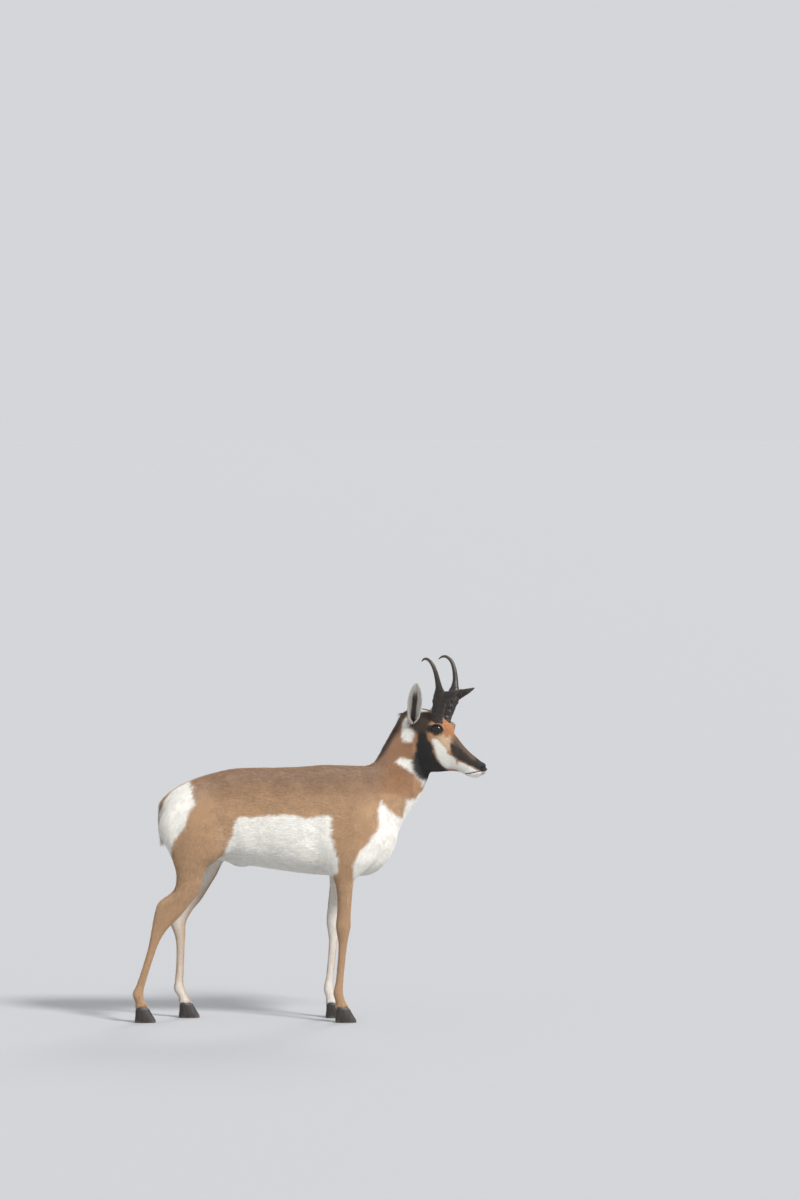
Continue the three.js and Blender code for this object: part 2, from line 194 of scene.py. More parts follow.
def fused_object(name, rings_list, voxel):
    """Lofts joined and voxel-remeshed into one closed skin."""
    thing = mesh_object(name, *joined(rings_list))
    modifier = thing.modifiers.new("fuse", "REMESH")
    modifier.mode = "VOXEL"
    modifier.voxel_size = voxel
    mesh = bpy.data.meshes.new_from_object(thing.evaluated_get(bpy.context.evaluated_depsgraph_get()))
    thing.modifiers.clear()
    thing.data = mesh
    mesh.shade_smooth()
    return thing


def loft(stations, sections, around=40):
    """Stations are x1, z1, x2, z2, aside, half width, high, round, coat depth, in mm. A ring's
    point at angle t is the middle plus reach * sin(t)^(2/round), and aside by the half width
    * cos(t)^(2/round) * (1 + high * sin(t)^(2/round)). Returns rings (sections, around, 3)."""
    x1, z1, x2, z2, aside, half, high, power, coat = (c[:, None] for c in through(stations, sections).T)
    t = np.linspace(0, 2 * np.pi, around, endpoint=False)[None]
    up = np.sign(np.sin(t)) * np.abs(np.sin(t)) ** (2 / power)
    out = np.sign(np.cos(t)) * np.abs(np.cos(t)) ** (2 / power)
    reach = np.hypot(x1 - x2, z1 - z2) / 2
    inner = np.maximum(reach - coat, 0.3 * reach) / reach
    x = (x1 + x2) / 2 + inner * (x1 - x2) / 2 * up
    z = (z1 + z2) / 2 + inner * (z1 - z2) / 2 * up
    y = aside + np.maximum(half - coat, 0.3 * half) * out * (1 + high * up)
    return np.stack([x, y, z], -1)


# %% [markdown]
# ## The stations
# These are the animal's own measurements in millimetres. The trunk and neck carry the longest
# coat, the face and shanks the shortest. A left leg takes the right leg's stations, moved
# forward or back, because the two of a pair don't stand side by side.

# %% Stations of trunk, neck, head and tail
WITHERS = 876
TRUNK = [  # x, back, belly, half width, high, coat
    [-529, 748, 704, 20, 0, 5],
    [-521, 765, 655, 52, 0, 7],
    [-500, 784, 612, 82, 0, 9],
    [-468, 809, 580, 106, 0, 9],
    [-420, 831, 562, 121, 0.02, 9],
    [-355, 850, 545, 130, 0.02, 8],
    [-290, 864, 532, 131, -0.02, 8],
    [-215, 868, 519, 131, -0.06, 8],
    [-140, 868, 507, 134, -0.10, 8],
    [-60, 871, 496, 136, -0.11, 8],
    [10, 877, 489, 132, -0.11, 8],
    [75, WITHERS, 485, 125, -0.13, 8],
    [130, WITHERS - 1, 484, 117, -0.12, 8],
    [180, 868, 490, 106, -0.08, 8],
    [222, 838, 520, 88, 0, 8],
    [256, 782, 574, 60, 0, 8],
    [270, 735, 620, 34, 0, 8],
]
NECK = [  # nape x, z, throat x, z, half width, high, coat
    [60, 868, 180, 494, 96, -0.1, 8],
    [125, 874, 213, 520, 99, -0.1, 8],
    [166, 876, 241, 563, 90, -0.1, 9],
    [190, 888, 268, 622, 79, -0.08, 9],
    [210, 909, 299, 680, 71, -0.05, 9],
    [232, 947, 334, 734, 66, 0, 8],
    [256, 987, 364, 787, 64, 0, 7],
    [275, 1020, 382, 838, 63, 0, 6],
    [290, 1048, 384, 884, 59, 0, 5],
    [312, 1062, 372, 940, 44, 0, 4],
]
HEAD = [  # crown s, z, jaw s, z, half width, high, round, coat
    [-24, 1046, 0, 962, 36, 0, 2, 4],
    [-6, 1066, 8, 898, 54, 0.05, 2, 4],
    [30, 1069, 30, 860, 60, 0.05, 2.1, 4],
    [66, 1055, 54, 849, 63, 0.10, 2.2, 3],
    [94, 1040, 76, 847, 63, 0.20, 2.3, 2.5],
    [118, 1015, 97, 849, 57, 0.20, 2.3, 2],
    [138, 987, 119, 852, 49, 0.12, 2.3, 2],
    [159, 962, 143, 854, 42, 0.05, 2.3, 1.8],
    [183, 938, 164, 852, 36, 0, 2.3, 1.6],
    [207, 918, 185, 844, 32.5, 0, 2.3, 1.5],
    [231, 902, 203, 835, 31, 0, 2.3, 1.3],
    [251, 886, 223, 831, 29, 0.04, 2.3, 1.2],
    [264, 872, 241, 836, 23, 0.1, 2.2, 1],
    [270, 860, 256, 846, 12, 0, 2, 1],
]
TAIL = [  # front x, z, back x, z, half width
    [-490, 762, -506, 777, 17],
    [-508, 740, -533, 752, 21],
    [-516, 708, -543, 712, 22],
    [-517, 670, -544, 669, 21],
    [-514, 634, -540, 629, 16],
    [-512, 606, -526, 600, 7],
]
TAIL_COAT = 5
HEAD_TURN = np.radians(24.0)
HEAD_COS, HEAD_SIN = np.cos(HEAD_TURN), np.sin(HEAD_TURN)
HEAD_PIVOT_X = 330.0

# %% Stations of the legs
CORONET = 46
FORELEG = [  # front x, z, back x, z, aside, half width, coat
    [158, 805, 98, 805, 66, 22, 8],
    [200, 745, 66, 745, 76, 40, 8],
    [226, 682, 44, 682, 80, 46, 8],
    [231, 622, 30, 622, 82, 47, 7],
    [212, 566, 26, 558, 82, 46, 6],
    [168, 522, 36, 514, 82, 42, 5],
    [131, 488, 52, 482, 82, 35, 4],
    [121, 450, 62, 446, 82, 29, 3],
    [116, 405, 65, 402, 81, 26, 2.5],
    [113, 362, 63, 358, 80, 23.5, 2],
    [113, 328, 60, 328, 80, 24.5, 2],
    [107, 297, 64, 297, 80, 19.5, 2],
    [101, 262, 69, 262, 79, 15, 2],
    [94, 200, 65, 200, 79, 13.5, 2],
    [88, 138, 59, 138, 79, 14.5, 2],
    [87, 99, 51, 99, 79, 18.5, 2],
    [95, 72, 58, 72, 79, 18, 2],
    [106, CORONET, 62, CORONET, 79, 21, 2],
]
HIND_LEG = [
    [-330, 812, -440, 806, 60, 28, 8],
    [-283, 765, -492, 748, 72, 48, 8],
    [-262, 708, -540, 690, 76, 57, 8],
    [-276, 650, -533, 630, 80, 57, 7],
    [-299, 602, -509, 586, 84, 50, 6],
    [-342, 558, -493, 550, 88, 41, 5],
    [-376, 524, -483, 512, 90, 33, 4],
    [-388, 484, -483, 474, 90, 27, 3],
    [-401, 446, -494, 444, 89, 23.5, 2.5],
    [-434, 403, -541, 411, 88, 23, 2],
    [-463, 366, -556, 371, 87, 22, 2],
    [-503, 326, -564, 330, 86, 18, 2],
    [-529, 290, -571, 290, 86, 15, 2],
    [-547, 250, -579, 250, 85, 14, 2],
    [-570, 182, -599, 182, 84, 14, 2],
    [-587, 124, -619, 124, 83, 15, 2],
    [-592, 96, -632, 96, 83, 18.5, 2],
    [-586, 70, -622, 70, 83, 18, 2],
    [-576, CORONET, -619, CORONET, 83, 21, 2],
]
LEFT_FORELEG_SHIFT = [0, 0, 0, 0, -2, -8, -18, -26, -32, -34, -33, -33, -34, -34, -34, -34, -34, -34]
LEFT_HIND_LEG_SHIFT = [0, 8, 14, 22, 26, 38, 48, 42, 30, 35, 33, 52, 76, 92, 112, 127, 137, 143, 145]
LEGS = {
    "foreleg_right": (FORELEG, -1, None),
    "foreleg_left": (FORELEG, 1, LEFT_FORELEG_SHIFT),
    "hind_leg_right": (HIND_LEG, -1, None),
    "hind_leg_left": (HIND_LEG, 1, LEFT_HIND_LEG_SHIFT),
}


def leg_stations(name):
    """A leg's stations on its own side, moved forward by its shift."""
    rows, side, shift = LEGS[name]
    rows = np.array(rows, dtype=float)
    if shift:
        rows[:, [0, 2]] += np.array(shift, dtype=float)[:, None]
    rows[:, 4] *= side
    return rows


# %% [markdown]
# ## From the stations to the frame
# The stations are counted from under the shoulder, but the frame's origin is the middle of
# the box's base. The outer toe of the right fore foot tells the difference. The head is
# modelled straight and then turned towards the animal's right.

# %% Placing
TOE_TIP = 131.0  # the right fore hoof's tip, and the middle of its outer toe, in the stations
TOE_ASIDE = -93.4
toe_low, toe_high = (np.array(corner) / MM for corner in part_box("foreleg_right_hoof_outer"))
SHIFT = np.array([toe_high[0] - TOE_TIP, (toe_low[1] + toe_high[1]) / 2 - TOE_ASIDE, 0.0])


def placed(points):
    """Millimetres counted from under the shoulder, turned into the frame's metres."""
    return (points + SHIFT) * MM


def head_turned(points):
    """From the head's own length, side and height to the body's millimetres."""
    s, a, z = points[..., 0], points[..., 1], points[..., 2]
    return np.stack([HEAD_PIVOT_X + HEAD_COS * s + HEAD_SIN * a, -HEAD_SIN * s + HEAD_COS * a, z], -1)


def head_own(points):
    """The way back: from the body's millimetres to the head's own length, side and height."""
    x, y, z = points[..., 0] - HEAD_PIVOT_X, points[..., 1], points[..., 2]
    return np.stack([HEAD_COS * x - HEAD_SIN * y, HEAD_SIN * x + HEAD_COS * y, z], -1)


print("shift of the stations in mm", SHIFT.round(2))

# %% [markdown]
# ## One skin
# The lofts run into each other like clay rolls. A voxel remesh fuses them into one closed
# surface of even quads, and a few rounds of smoothing melt the creases between limb and
# trunk, as skin stretched over muscle does. Smoothing alone would shrink the thin legs, so
# each round is followed by a slightly stronger step back.

# %% Fuse the lofts
VOXEL = 6.0
TRUNK_ROUND, LEG_ROUND = 2.15, 2.1

body_rings = [
    loft([[x, top, x, low, 0, w, h, TRUNK_ROUND, k] for x, top, low, w, h, k in TRUNK], 60, 56),
    loft([[a, b, c, d, 0, w, h, 2.0, k] for a, b, c, d, w, h, k in NECK], 40, 56),
    head_turned(loft([[a, b, c, d, 0, w, h, p, k] for a, b, c, d, w, h, p, k in HEAD], 56, 48)),
    loft([[a, b, c, d, 0, w, 0, 2, TAIL_COAT] for a, b, c, d, w in TAIL], 24, 20),
] + [
    loft([[a, b, c, d, y, w, 0, LEG_ROUND, k] for a, b, c, d, y, w, k in leg_stations(name)], 70, 28)
    for name in LEGS
]
turn, tilt = np.meshgrid(np.linspace(0, 2 * np.pi, 24, endpoint=False), np.linspace(-1.5, 1.5, 17))
body_rings.append(np.stack([-262 + 44 * np.sin(tilt), 15 * np.cos(tilt) * np.cos(turn),
                            543 + 22 * np.cos(tilt) * np.sin(turn)], -1))  # the buck's sheath
skin = fused_object("skin", body_rings, VOXEL)
fused = skin.data
print("fused skin", len(fused.vertices), "points")

# %% Relax a surface
def edges_of(mesh):
    """The mesh's edges as pairs of point numbers (n, 2)."""
    return taken(mesh.edges, "vertices", 2, np.int32)


def neighbour_mean(values, edges):
    """The mean of each point's neighbours along the edges."""
    count = np.bincount(edges.ravel(), minlength=len(values))[:, None]
    total = np.empty_like(values)
    for k in range(values.shape[1]):
        total[:, k] = (np.bincount(edges[:, 0], values[edges[:, 1], k], len(values))
                       + np.bincount(edges[:, 1], values[edges[:, 0], k], len(values)))
    return total / np.maximum(count, 1)


def relaxed(points, edges, rounds, amount=1.0, forth=0.55, back=-0.57):
    """Each round moves a point by `forth` of the way to its neighbours' mean, then by `back`,
    which is away from it, so bumps go and volume stays. `amount` scales both, point by point."""
    for _ in range(rounds):
        for step in (forth, back):
            points = points + amount * step * (neighbour_mean(points, edges) - points)
    return points


def set_points(mesh, points):
    """Moves the mesh's vertices to `points` (n, 3)."""
    mesh.vertices.foreach_set("co", np.ascontiguousarray(points, dtype=np.float32).ravel())
    mesh.update()


edges = edges_of(fused)
points = points_of(fused)
rest = neighbour_mean(points, edges)
for _ in range(3):
    rest = neighbour_mean(rest, edges)
crease = lengths(rest - points)  # large where limb meets trunk
crease = np.clip((crease - 0.35) / 0.8, 0, 1)[:, None]
for _ in range(6):
    crease = np.maximum(crease, 0.96 * neighbour_mean(crease, edges))
points = relaxed(points, edges, 6)
low = np.clip((points[:, 2:] - 430) / 60, 0, 1)  # the thin lower legs keep their size
for _ in range(14):
    points += 0.5 * crease * low * (neighbour_mean(points, edges) - points)
set_points(fused, points)
print("relaxed", len(points), "points, creases", int((crease > 0.5).sum()))

# %% [markdown]
# ## A finer head
# Lids, nostrils and lips are a few millimetres across, so the head needs smaller faces than
# the flank. Splitting only the faces there, and once more round the eyes and the muzzle,
# spends the points where they are seen.

# %% Refine the head
EYE = np.array([105.0, 46.5, 999.0])
EYE_RADIUS = 18.5
EYE_PATCH = 34  # how far from its middle the eye's bare, black skin may reach


def folded(own):
    """The head's own points with both sides laid on the left one."""
    return own * [1, 0, 1] + np.abs(own) * [0, 1, 0]


def on_head(points):
    """Whether points are on the head."""
    own = head_own(points)
    return (own[:, 0] > -8) & (own[:, 2] > 815)


def on_face_detail(points):
    """Whether points are round the eyes or on the muzzle."""
    own = folded(head_own(points))
    near_eye = lengths(own - EYE) < 42
    return near_eye | ((own[:, 0] > 186) & (own[:, 2] > 815))


def refine(mesh, wanted):
    """Splits every edge of the faces whose middles `wanted` picks."""
    grid = bmesh.new()
    grid.from_mesh(mesh)
    middles = np.array([face.calc_center_median() for face in grid.faces])
    picked = {edge for face, take in zip(grid.faces, wanted(middles)) if take for edge in face.edges}
    bmesh.ops.subdivide_edges(grid, edges=list(picked), cuts=1, use_grid_fill=True)
    grid.to_mesh(mesh)
    grid.free()


for wanted in (on_head, on_face_detail):
    refine(fused, wanted)
    points = points_of(fused)
    set_points(fused, relaxed(points, edges_of(fused), 8, on_head(points)[:, None].astype(float)))
print("refined skin", len(fused.vertices), "points")

# %% [markdown]
# ## Muscle and bone under the skin
# A hide over a living body is never a plain tube. Each swelling or hollow is a smooth bell,
# `amount * exp(-(distance / size)^2)`, added along the skin's normal: the shoulder blade,
# the triceps, the point of the hip, the hollow before it, the stifle, and the folds of the
# flank. The head gets the cheek's muscle, the ridge under the eye and the hollows round it.

# %% Swellings
FORM_STRENGTH = 1.35
BODY_FORMS = [  # x, z, size along x, size along z, amount
    (110, 712, 52, 95, 4.5), (212, 640, 34, 42, 6), (62, 596, 44, 42, 5), (-8, 640, 22, 100, -5),
    (150, 560, 30, 36, 3), (-298, 812, 34, 30, 5), (-228, 755, 60, 60, -5.5), (-246, 606, 26, 44, 4),
    (-400, 700, 66, 80, 5), (-470, 640, 18, 80, -3.5), (-318, 600, 26, 28, 4), (-120, 640, 90, 90, 3),
    (-352, 575, 30, 60, 3), (20, 800, 60, 30, 2.5), (110, 800, 40, 26, -3),
]
HEAD_FORMS = [  # s, side, z, size, amount
    (100, 50, 1026, 13, 2.6), (134, 40, 972, 13, -2.6), (84, 60, 915, 34, 3.5), (138, 46, 934, 11, 2.2),
    (160, 38, 922, 11, 1.8), (150, 36, 888, 24, -4.5), (196, 30, 892, 18, -1.6), (60, 56, 985, 18, -3),
    (106, 56, 1001, 28, 8), (259, 0, 884, 12, 5.5), (255, 17, 880, 10, 4),
    (271, 0, 860, 7, -2.5), (240, 26, 866, 9, 2), (248, 22, 876, 9, 1.8), (222, 24, 838, 12, 1.2),
    (120, 14, 1008, 16, 2), (66, 0, 1058, 20, 3),
]


def bell(offsets, sizes):
    """A hump in several directions at once."""
    return np.exp(-((offsets / sizes) ** 2).sum(-1))


points, normals = points_of(fused), normals_of(fused)
rise = np.zeros(len(points))
outer = np.clip((np.abs(points[:, 1]) - 45) / 35, 0, 1)
for x, z, size_x, size_z, amount in BODY_FORMS:
    rise += FORM_STRENGTH * amount * outer * bell(points[:, [0, 2]] - [x, z], [size_x, size_z])
own = folded(head_own(points))
for s, a, z, size, amount in HEAD_FORMS:
    rise += amount * bell(own - [s, a, z], size)
nape = np.clip((points[:, 2] - 870) / 60, 0, 1) * (own[:, 0] < -25)
rise += 4 * nape * hump(points[:, 1], 14)
breast = eased(points[:, 0], 170, 235) * eased(points[:, 2], 500, 560) * eased(-points[:, 2], -740, -660)
rise += breast * (5.5 * hump(np.abs(points[:, 1]) - 44, 26) - 5 * hump(points[:, 1], 13))
dock = eased(-points[:, 0], 492, 510) * eased(points[:, 2], 600, 640) * eased(-points[:, 2], -772, -745)
rise += dock * (2.5 * hump(points[:, 1], 13) - 5 * hump(np.abs(points[:, 1]) - 27, 8))
set_points(fused, points + rise[:, None] * normals)
print("swellings from", rise.min().round(1), "to", rise.max().round(1), "mm")

# %% [markdown]
# ## Lids, nostrils and mouth
# The lids lie on the eyeball, so they are made by moving skin along the ball's own radii:
# `q` is one on the edge of the almond-shaped opening. Inside it the skin sinks behind the
# ball, on the edge it rises about 1.5 mm over it, and further out it eases back into the
# face. The mouth is a groove along a line of the side view, and each nostril a slanted slit.

# %% Lids
EYE_OUT = unit(np.array([0.30, 1.0, 0.10]))
EYE_LONG = np.array([np.cos(np.radians(-16)), 0.0, np.sin(np.radians(-16))])
EYE_LONG = unit(EYE_LONG - EYE_OUT * (EYE_LONG @ EYE_OUT))
EYE_UP = np.cross(EYE_LONG, EYE_OUT)
EYE_UP = EYE_UP if EYE_UP[2] > 0 else -EYE_UP
LID, LID_RIM, SINK = 1.4, 0.6, 3.5  # lid over the ball, its rim on top, skin behind the ball
LID_EDGE = 1.04  # the q where the lid begins
LID_REACH = 60  # no skin further than this from the ball's middle moves


def opening(own):
    """q = sqrt((u / 0.84)^2 + (v / (0.6 - 0.2 u^2))^2) for the direction (u, v, w) on the ball,
    raised by up to 4 as w goes from 0.35 to 0.05, and 9 from there on back."""
    way = unit(own - EYE)
    u, v, w = way @ EYE_LONG, way @ EYE_UP, way @ EYE_OUT
    q = np.sqrt((u / 0.84) ** 2 + (v / (0.60 - 0.20 * u**2)) ** 2) + 4 * eased(-w, -0.35, -0.05)
    return np.where(w > 0.05, q, 9.0)


def larger(a, b, soft):
    """The larger of two, with a round corner `soft` across where they meet."""
    return 0.5 * (a + b + np.sqrt((a - b) ** 2 + soft**2))


points = points_of(fused)
own = head_own(points)
side = np.where(own[:, 1] < 0, -1, 1)
own = folded(own)
offset = own - EYE
reach = lengths(offset)
q = opening(own)
facing = eased(unit(offset) @ EYE_OUT, 0.02, 0.3)
lip = EYE_RADIUS + LID + LID_RIM * hump(q - 1.16, 0.12)
around = lip + (reach - lip) * eased(q, 1.12, 2.7)
around = larger(reach + (around - reach) * facing, EYE_RADIUS + 1.2, 3.0)
sunk = EYE_RADIUS - SINK + (lip - EYE_RADIUS + SINK) * eased(q, 0.90, LID_EDGE)
moved = np.where(q < LID_EDGE, sunk, around)
near = reach < LID_REACH
own = np.where(near[:, None], EYE + unit(offset) * moved[:, None], own)

# %% Mouth and nostrils
MOUTH = np.array([[194, 848], [212, 850], [232, 854], [250, 858], [262, 859], [275, 858]], dtype=float)
NOSTRIL = np.array([257.0, 17.0, 868.0])


def to_line(flat, line):
    """Distance of points (n, 2) to a bent line, and how far above it they are."""
    best = np.full(len(flat), 1e9)
    above = np.zeros(len(flat))
    for a, b in zip(line[:-1], line[1:]):
        along = (b - a) @ (b - a)
        t = np.clip((flat - a) @ (b - a) / along, 0, 1)
        foot = a + t[:, None] * (b - a)
        far = lengths(flat - foot)
        above = np.where(far < best, flat[:, 1] - foot[:, 1], above)
        best = np.minimum(best, far)
    return best, above


set_points(fused, head_turned(own * np.stack([side**2, side, side**2], 1)))
normals = normals_of(fused)
away, above = to_line(own[:, [0, 2]], MOUTH)
face = own[:, 0] > 180
lips = away < 12
dent = -2.9 * hump(away, 1.7) + 1.3 * hump(above - 5.5, 3.5) * lips + hump(above + 5.5, 3.5) * lips
slit = own - NOSTRIL
beside = np.abs(slit[:, 1]) < 14
slant = np.array([0.62, 0.0, 0.78])
lengthways = slit @ slant
across = slit @ np.array([0.78, 0.0, -0.62])
hole = np.exp(-(lengthways / 7.0) ** 2 - (across / 3.4) ** 2) * beside
rim = np.exp(-(lengthways / 9.5) ** 2 - (across / 6.4) ** 2) * beside
dent += -9.5 * hole + 2.6 * (rim - hole)
dent -= 1.6 * hump(own[:, 1], 1.8) * eased(own[:, 0], 262, 268) * (own[:, 2] > 858)
set_points(fused, points_of(fused) + (dent * face)[:, None] * normals)
print("lids over", int(near.sum()), "points, mouth and nostrils", int((np.abs(dent * face) > 0.5).sum()))

# %% [markdown]
# ## Ears
# An ear is a leaf of gristle rolled into a cup. Its section is an arc: `r` sweeps the angle
# from one rim to the other, the outer face at the full radius and the inner one 3 mm inside
# it, and the arc closes into a tube towards the root, where the ear stands in the head.

# %% Ears
EARS = [  # root and tip as s, aside, z; the side
    ((12, -44, 1040), (58, -122, 1153), -1),
    ((20, 44, 1038), (112, 128, 1124), 1),
]
EAR_LENGTH, EAR_HALF, EAR_WALL = 145.0, 22.0, 3.0
EAR_ROWS, EAR_ARC = 64, 30  # rings along an ear, and points along one of its two arcs


def ear_frame(ear):
    """An ear's root, the way along it, the way its mouth faces, and the way across."""
    root, tip, sign = np.array(ear[0], float), np.array(ear[1], float), ear[2]
    along = unit(tip - root)
    mouth = np.array([0.5, sign * 0.86, 0.0])
    mouth = unit(mouth - along * (mouth @ along))
    return root, along, mouth, np.cross(along, mouth)


def ear_arcs(ear, t):
    """For each t (root 0, tip 1): the arc's middle, its half angle and its radius."""
    root, along, mouth, _ = ear_frame(ear)
    width = EAR_HALF * (0.62 + 1.3 * t) * np.maximum(1.0005 - np.clip(t, 0, 1) ** 1.7, 0.0005) ** 0.66
    width = np.where(t < 0.12, width * (1 - 1.2 * (0.12 - t)), width)
    curl = 1.25 * (1.05 - 0.55 * t) + 1.15 * np.clip(1 - t / 0.26, 0, 1.3) ** 1.4
    radius = width / np.sin(np.minimum(curl, np.pi / 2)) + EAR_WALL
    middle = root + along * EAR_LENGTH * t[:, None] + mouth * (radius - 3.5 * t)[:, None]
    return middle, curl, radius


def ear_rings(ear):
    """Rings (rows, around, 3): the outer arc's points, then the inner one's on the way back."""
    _, along, mouth, across = ear_frame(ear)
    t = 1 - np.linspace(0, 1, EAR_ROWS) ** 1.35 * 1.12
    middle, curl, radius = ear_arcs(ear, t)
    inner = radius - np.minimum(EAR_WALL, 0.45 * radius) * (0.55 + 0.45 * np.clip((1 - t) * 6, 0, 1))
    sweep = np.linspace(-1, 1, EAR_ARC)
    angles = np.concatenate([sweep, sweep[::-1] * 0.975])
    reach = np.repeat(np.stack([radius, inner], 1), EAR_ARC, 1)
    angle = curl[:, None] * angles[None]
    return (middle[:, None] - mouth * (reach * np.cos(angle))[..., None]
            + across * (reach * np.sin(angle))[..., None])


skin_points, skin_faces = [points_of(fused)], [taken(fused.loop_triangles, "vertices", 3, np.int32)]
for ear in EARS:
    ear_points, ear_faces = rings_mesh(ear_rings(ear))
    skin_faces.append(ear_faces + sum(len(p) for p in skin_points))
    skin_points.append(head_turned(ear_points))
ear_of = np.repeat(np.arange(len(skin_points)), [len(p) for p in skin_points])
bpy.data.objects.remove(skin)
skin = mesh_object("skin", np.concatenate(skin_points), np.concatenate(skin_faces))
print("skin with ears", len(skin.data.polygons), "triangles")

# %% [markdown]
# ## Unwrap
# Each lock of the coat carries the place of its root on an unwrap of the skin, so the skin is
# unwrapped once here. Smart projection cuts it where it bends by more than a set angle.

# %% Unwrap the skin
UNWRAP_ANGLE = np.radians(66)
bpy.context.view_layer.objects.active = skin
skin.select_set(True)
skin.data.uv_layers.new(name="UVMap")
bpy.ops.object.mode_set(mode="EDIT")
bpy.ops.mesh.select_all(action="SELECT")
bpy.ops.uv.smart_project(angle_limit=UNWRAP_ANGLE, island_margin=0.002)
bpy.ops.object.mode_set(mode="OBJECT")
skin_uv = taken(skin.data.uv_layers["UVMap"].data, "uv", 2).reshape(-1, 3, 2)
print("unwrapped into", skin_uv.min().round(3), skin_uv.max().round(3))

# %% [markdown]
# ## Markings
# A pronghorn is tan above and white below, with two white bands on the throat, a white rump,
# a black patch on the buck's cheek and a dark mask down the nose. Every marking is a shape in
# the side view: its signed distance, warped by a slow noise so that no edge is ruled, tells
# how much of the colour lies at a point. Skin and coat ask the same function, so they agree.

# %% Noise and shapes
def waves(points, size, seed, count=5):
    """Soft noise from -1 to 1: a sum of sine waves in fixed random directions, about `size`
    millimetres long."""
    dice = np.random.default_rng(seed)
    ways = unit(dice.normal(size=(count, 3))) * 2 * np.pi / size * dice.uniform(0.6, 1.5, (count, 1))
    return np.sin(points @ ways.T + dice.uniform(0, 6.28, count)).mean(1) * 1.6


def inside(flat, corners):
    """Signed distance of points (n, 2) to a polygon, positive inside."""
    corners = np.asarray(corners, dtype=float)
    best = np.full(len(flat), 1e9)
    odd = np.zeros(len(flat), dtype=bool)
    for a, b in zip(corners, np.roll(corners, -1, axis=0)):
        edge = b - a
        t = np.clip((flat - a) @ edge / (edge @ edge), 0, 1)
        best = np.minimum(best, lengths(flat - a - t[:, None] * edge))
        crosses = (a[1] > flat[:, 1]) != (b[1] > flat[:, 1])
        with np.errstate(divide="ignore", invalid="ignore"):
            left = flat[:, 0] < a[0] + (flat[:, 1] - a[1]) * edge[0] / edge[1]
        odd ^= crosses & left
    return np.where(odd, best, -best)


# %% Colours and markings
TAN = (0.45, 0.275, 0.15)
# a darker brown: the real darker back, tail and ear backs, and also painted shade over the upper body
BROWN_AND_PAINTED_SHADE = (0.235, 0.135, 0.075)
RUSSET = (0.46, 0.20, 0.075)
WHITE = (0.85, 0.82, 0.76)
CREAM = (0.62, 0.46, 0.30)
DARK = (0.055, 0.032, 0.02)
BLACK = (0.014, 0.011, 0.010)
UMBER = (0.125, 0.066, 0.036)
MASK = (0.028, 0.019, 0.015)

BODY_MARKS = [  # colour, soft edge in mm, corners in x and z
    (WHITE, 7, [(-256, 706), (-100, 712), (60, 706), (66, 640), (76, 570), (68, 530), (46, 508),
                (36, 470), (-330, 470), (-330, 545), (-309, 571), (-292, 612), (-272, 655)]),
    (WHITE, 8, [(-418, 822), (-410, 751), (-442, 694), (-478, 640), (-500, 597), (-600, 590), (-600, 850),
                (-440, 850)]),
    (WHITE, 7, [(222, 768), (213, 711), (204, 666), (184, 630), (152, 600), (133, 566), (118, 545),
                (124, 500), (126, 440), (330, 440), (420, 700), (330, 768)]),
    (TAN, 6, [(218, 790), (300, 778), (306, 750), (294, 700), (262, 716), (232, 748)]),
    (WHITE, 5, [(381, 822), (330, 770), (300, 730), (286, 690), (330, 660), (430, 780)]),
    (WHITE, 6, [(270, 896), (300, 876), (340, 838), (362, 806), (384, 812), (384, 838), (348, 864),
                (318, 892), (284, 908)]),
    (WHITE, 6, [(283, 1030), (300, 1040), (334, 1020), (340, 985), (330, 950), (306, 950), (288, 985)]),
]
HEAD_MARKS = [  # colour, soft edge, least distance aside, corners in s and z
    (DARK, 8, 0, [(30, 1066), (84, 1066), (92, 1030), (78, 985), (40, 980), (10, 1000), (-10, 1050)]),
    (BLACK, 6, 0, [(44, 990), (76, 984), (84, 962), (100, 938), (108, 898), (136, 862), (140, 830),
                   (30, 830), (20, 880), (36, 930)]),
    (WHITE, 4, 22, [(96, 966), (116, 968), (128, 950), (142, 935), (148, 916), (164, 908), (178, 880),
                    (190, 862), (190, 835), (142, 835), (138, 862), (113, 898), (105, 938)]),
    (CREAM, 6, 18, [(112, 972), (134, 984), (150, 964), (160, 940), (150, 924), (140, 938), (124, 952)]),
    (RUSSET, 5, 0, [(84, 1048), (118, 1034), (140, 1000), (150, 978), (134, 968), (124, 1000),
                    (100, 1024)]),
    (WHITE, 3, 0, [(178, 892), (200, 884), (236, 868), (280, 862), (290, 820), (170, 820)]),
    (UMBER, 6, 0, [(146, 1004), (190, 960), (240, 912), (280, 870), (255, 850), (230, 872), (176, 916),
                   (152, 962)]),
    (MASK, 4, 14, [(152, 952), (176, 940), (210, 908), (252, 880), (246, 868), (214, 878), (178, 898),
                   (158, 916)]),
    (BLACK, 3, 0, [(228, 924), (285, 905), (285, 859), (262, 860), (246, 865), (232, 880)]),
    (BLACK, 3, 34, [(74, 1000), (81, 1010), (92, 1013), (92, 985), (81, 989)]),
    (WHITE, 4, 10, [(20, 1090), (66, 1080), (68, 1056), (44, 1050), (22, 1056)]),
]


def blend(colours, colour, amount):
    """Rows moved towards one colour, or one direction, by `amount`, point by point."""
    return colours + (np.asarray(colour) - colours) * amount[:, None]


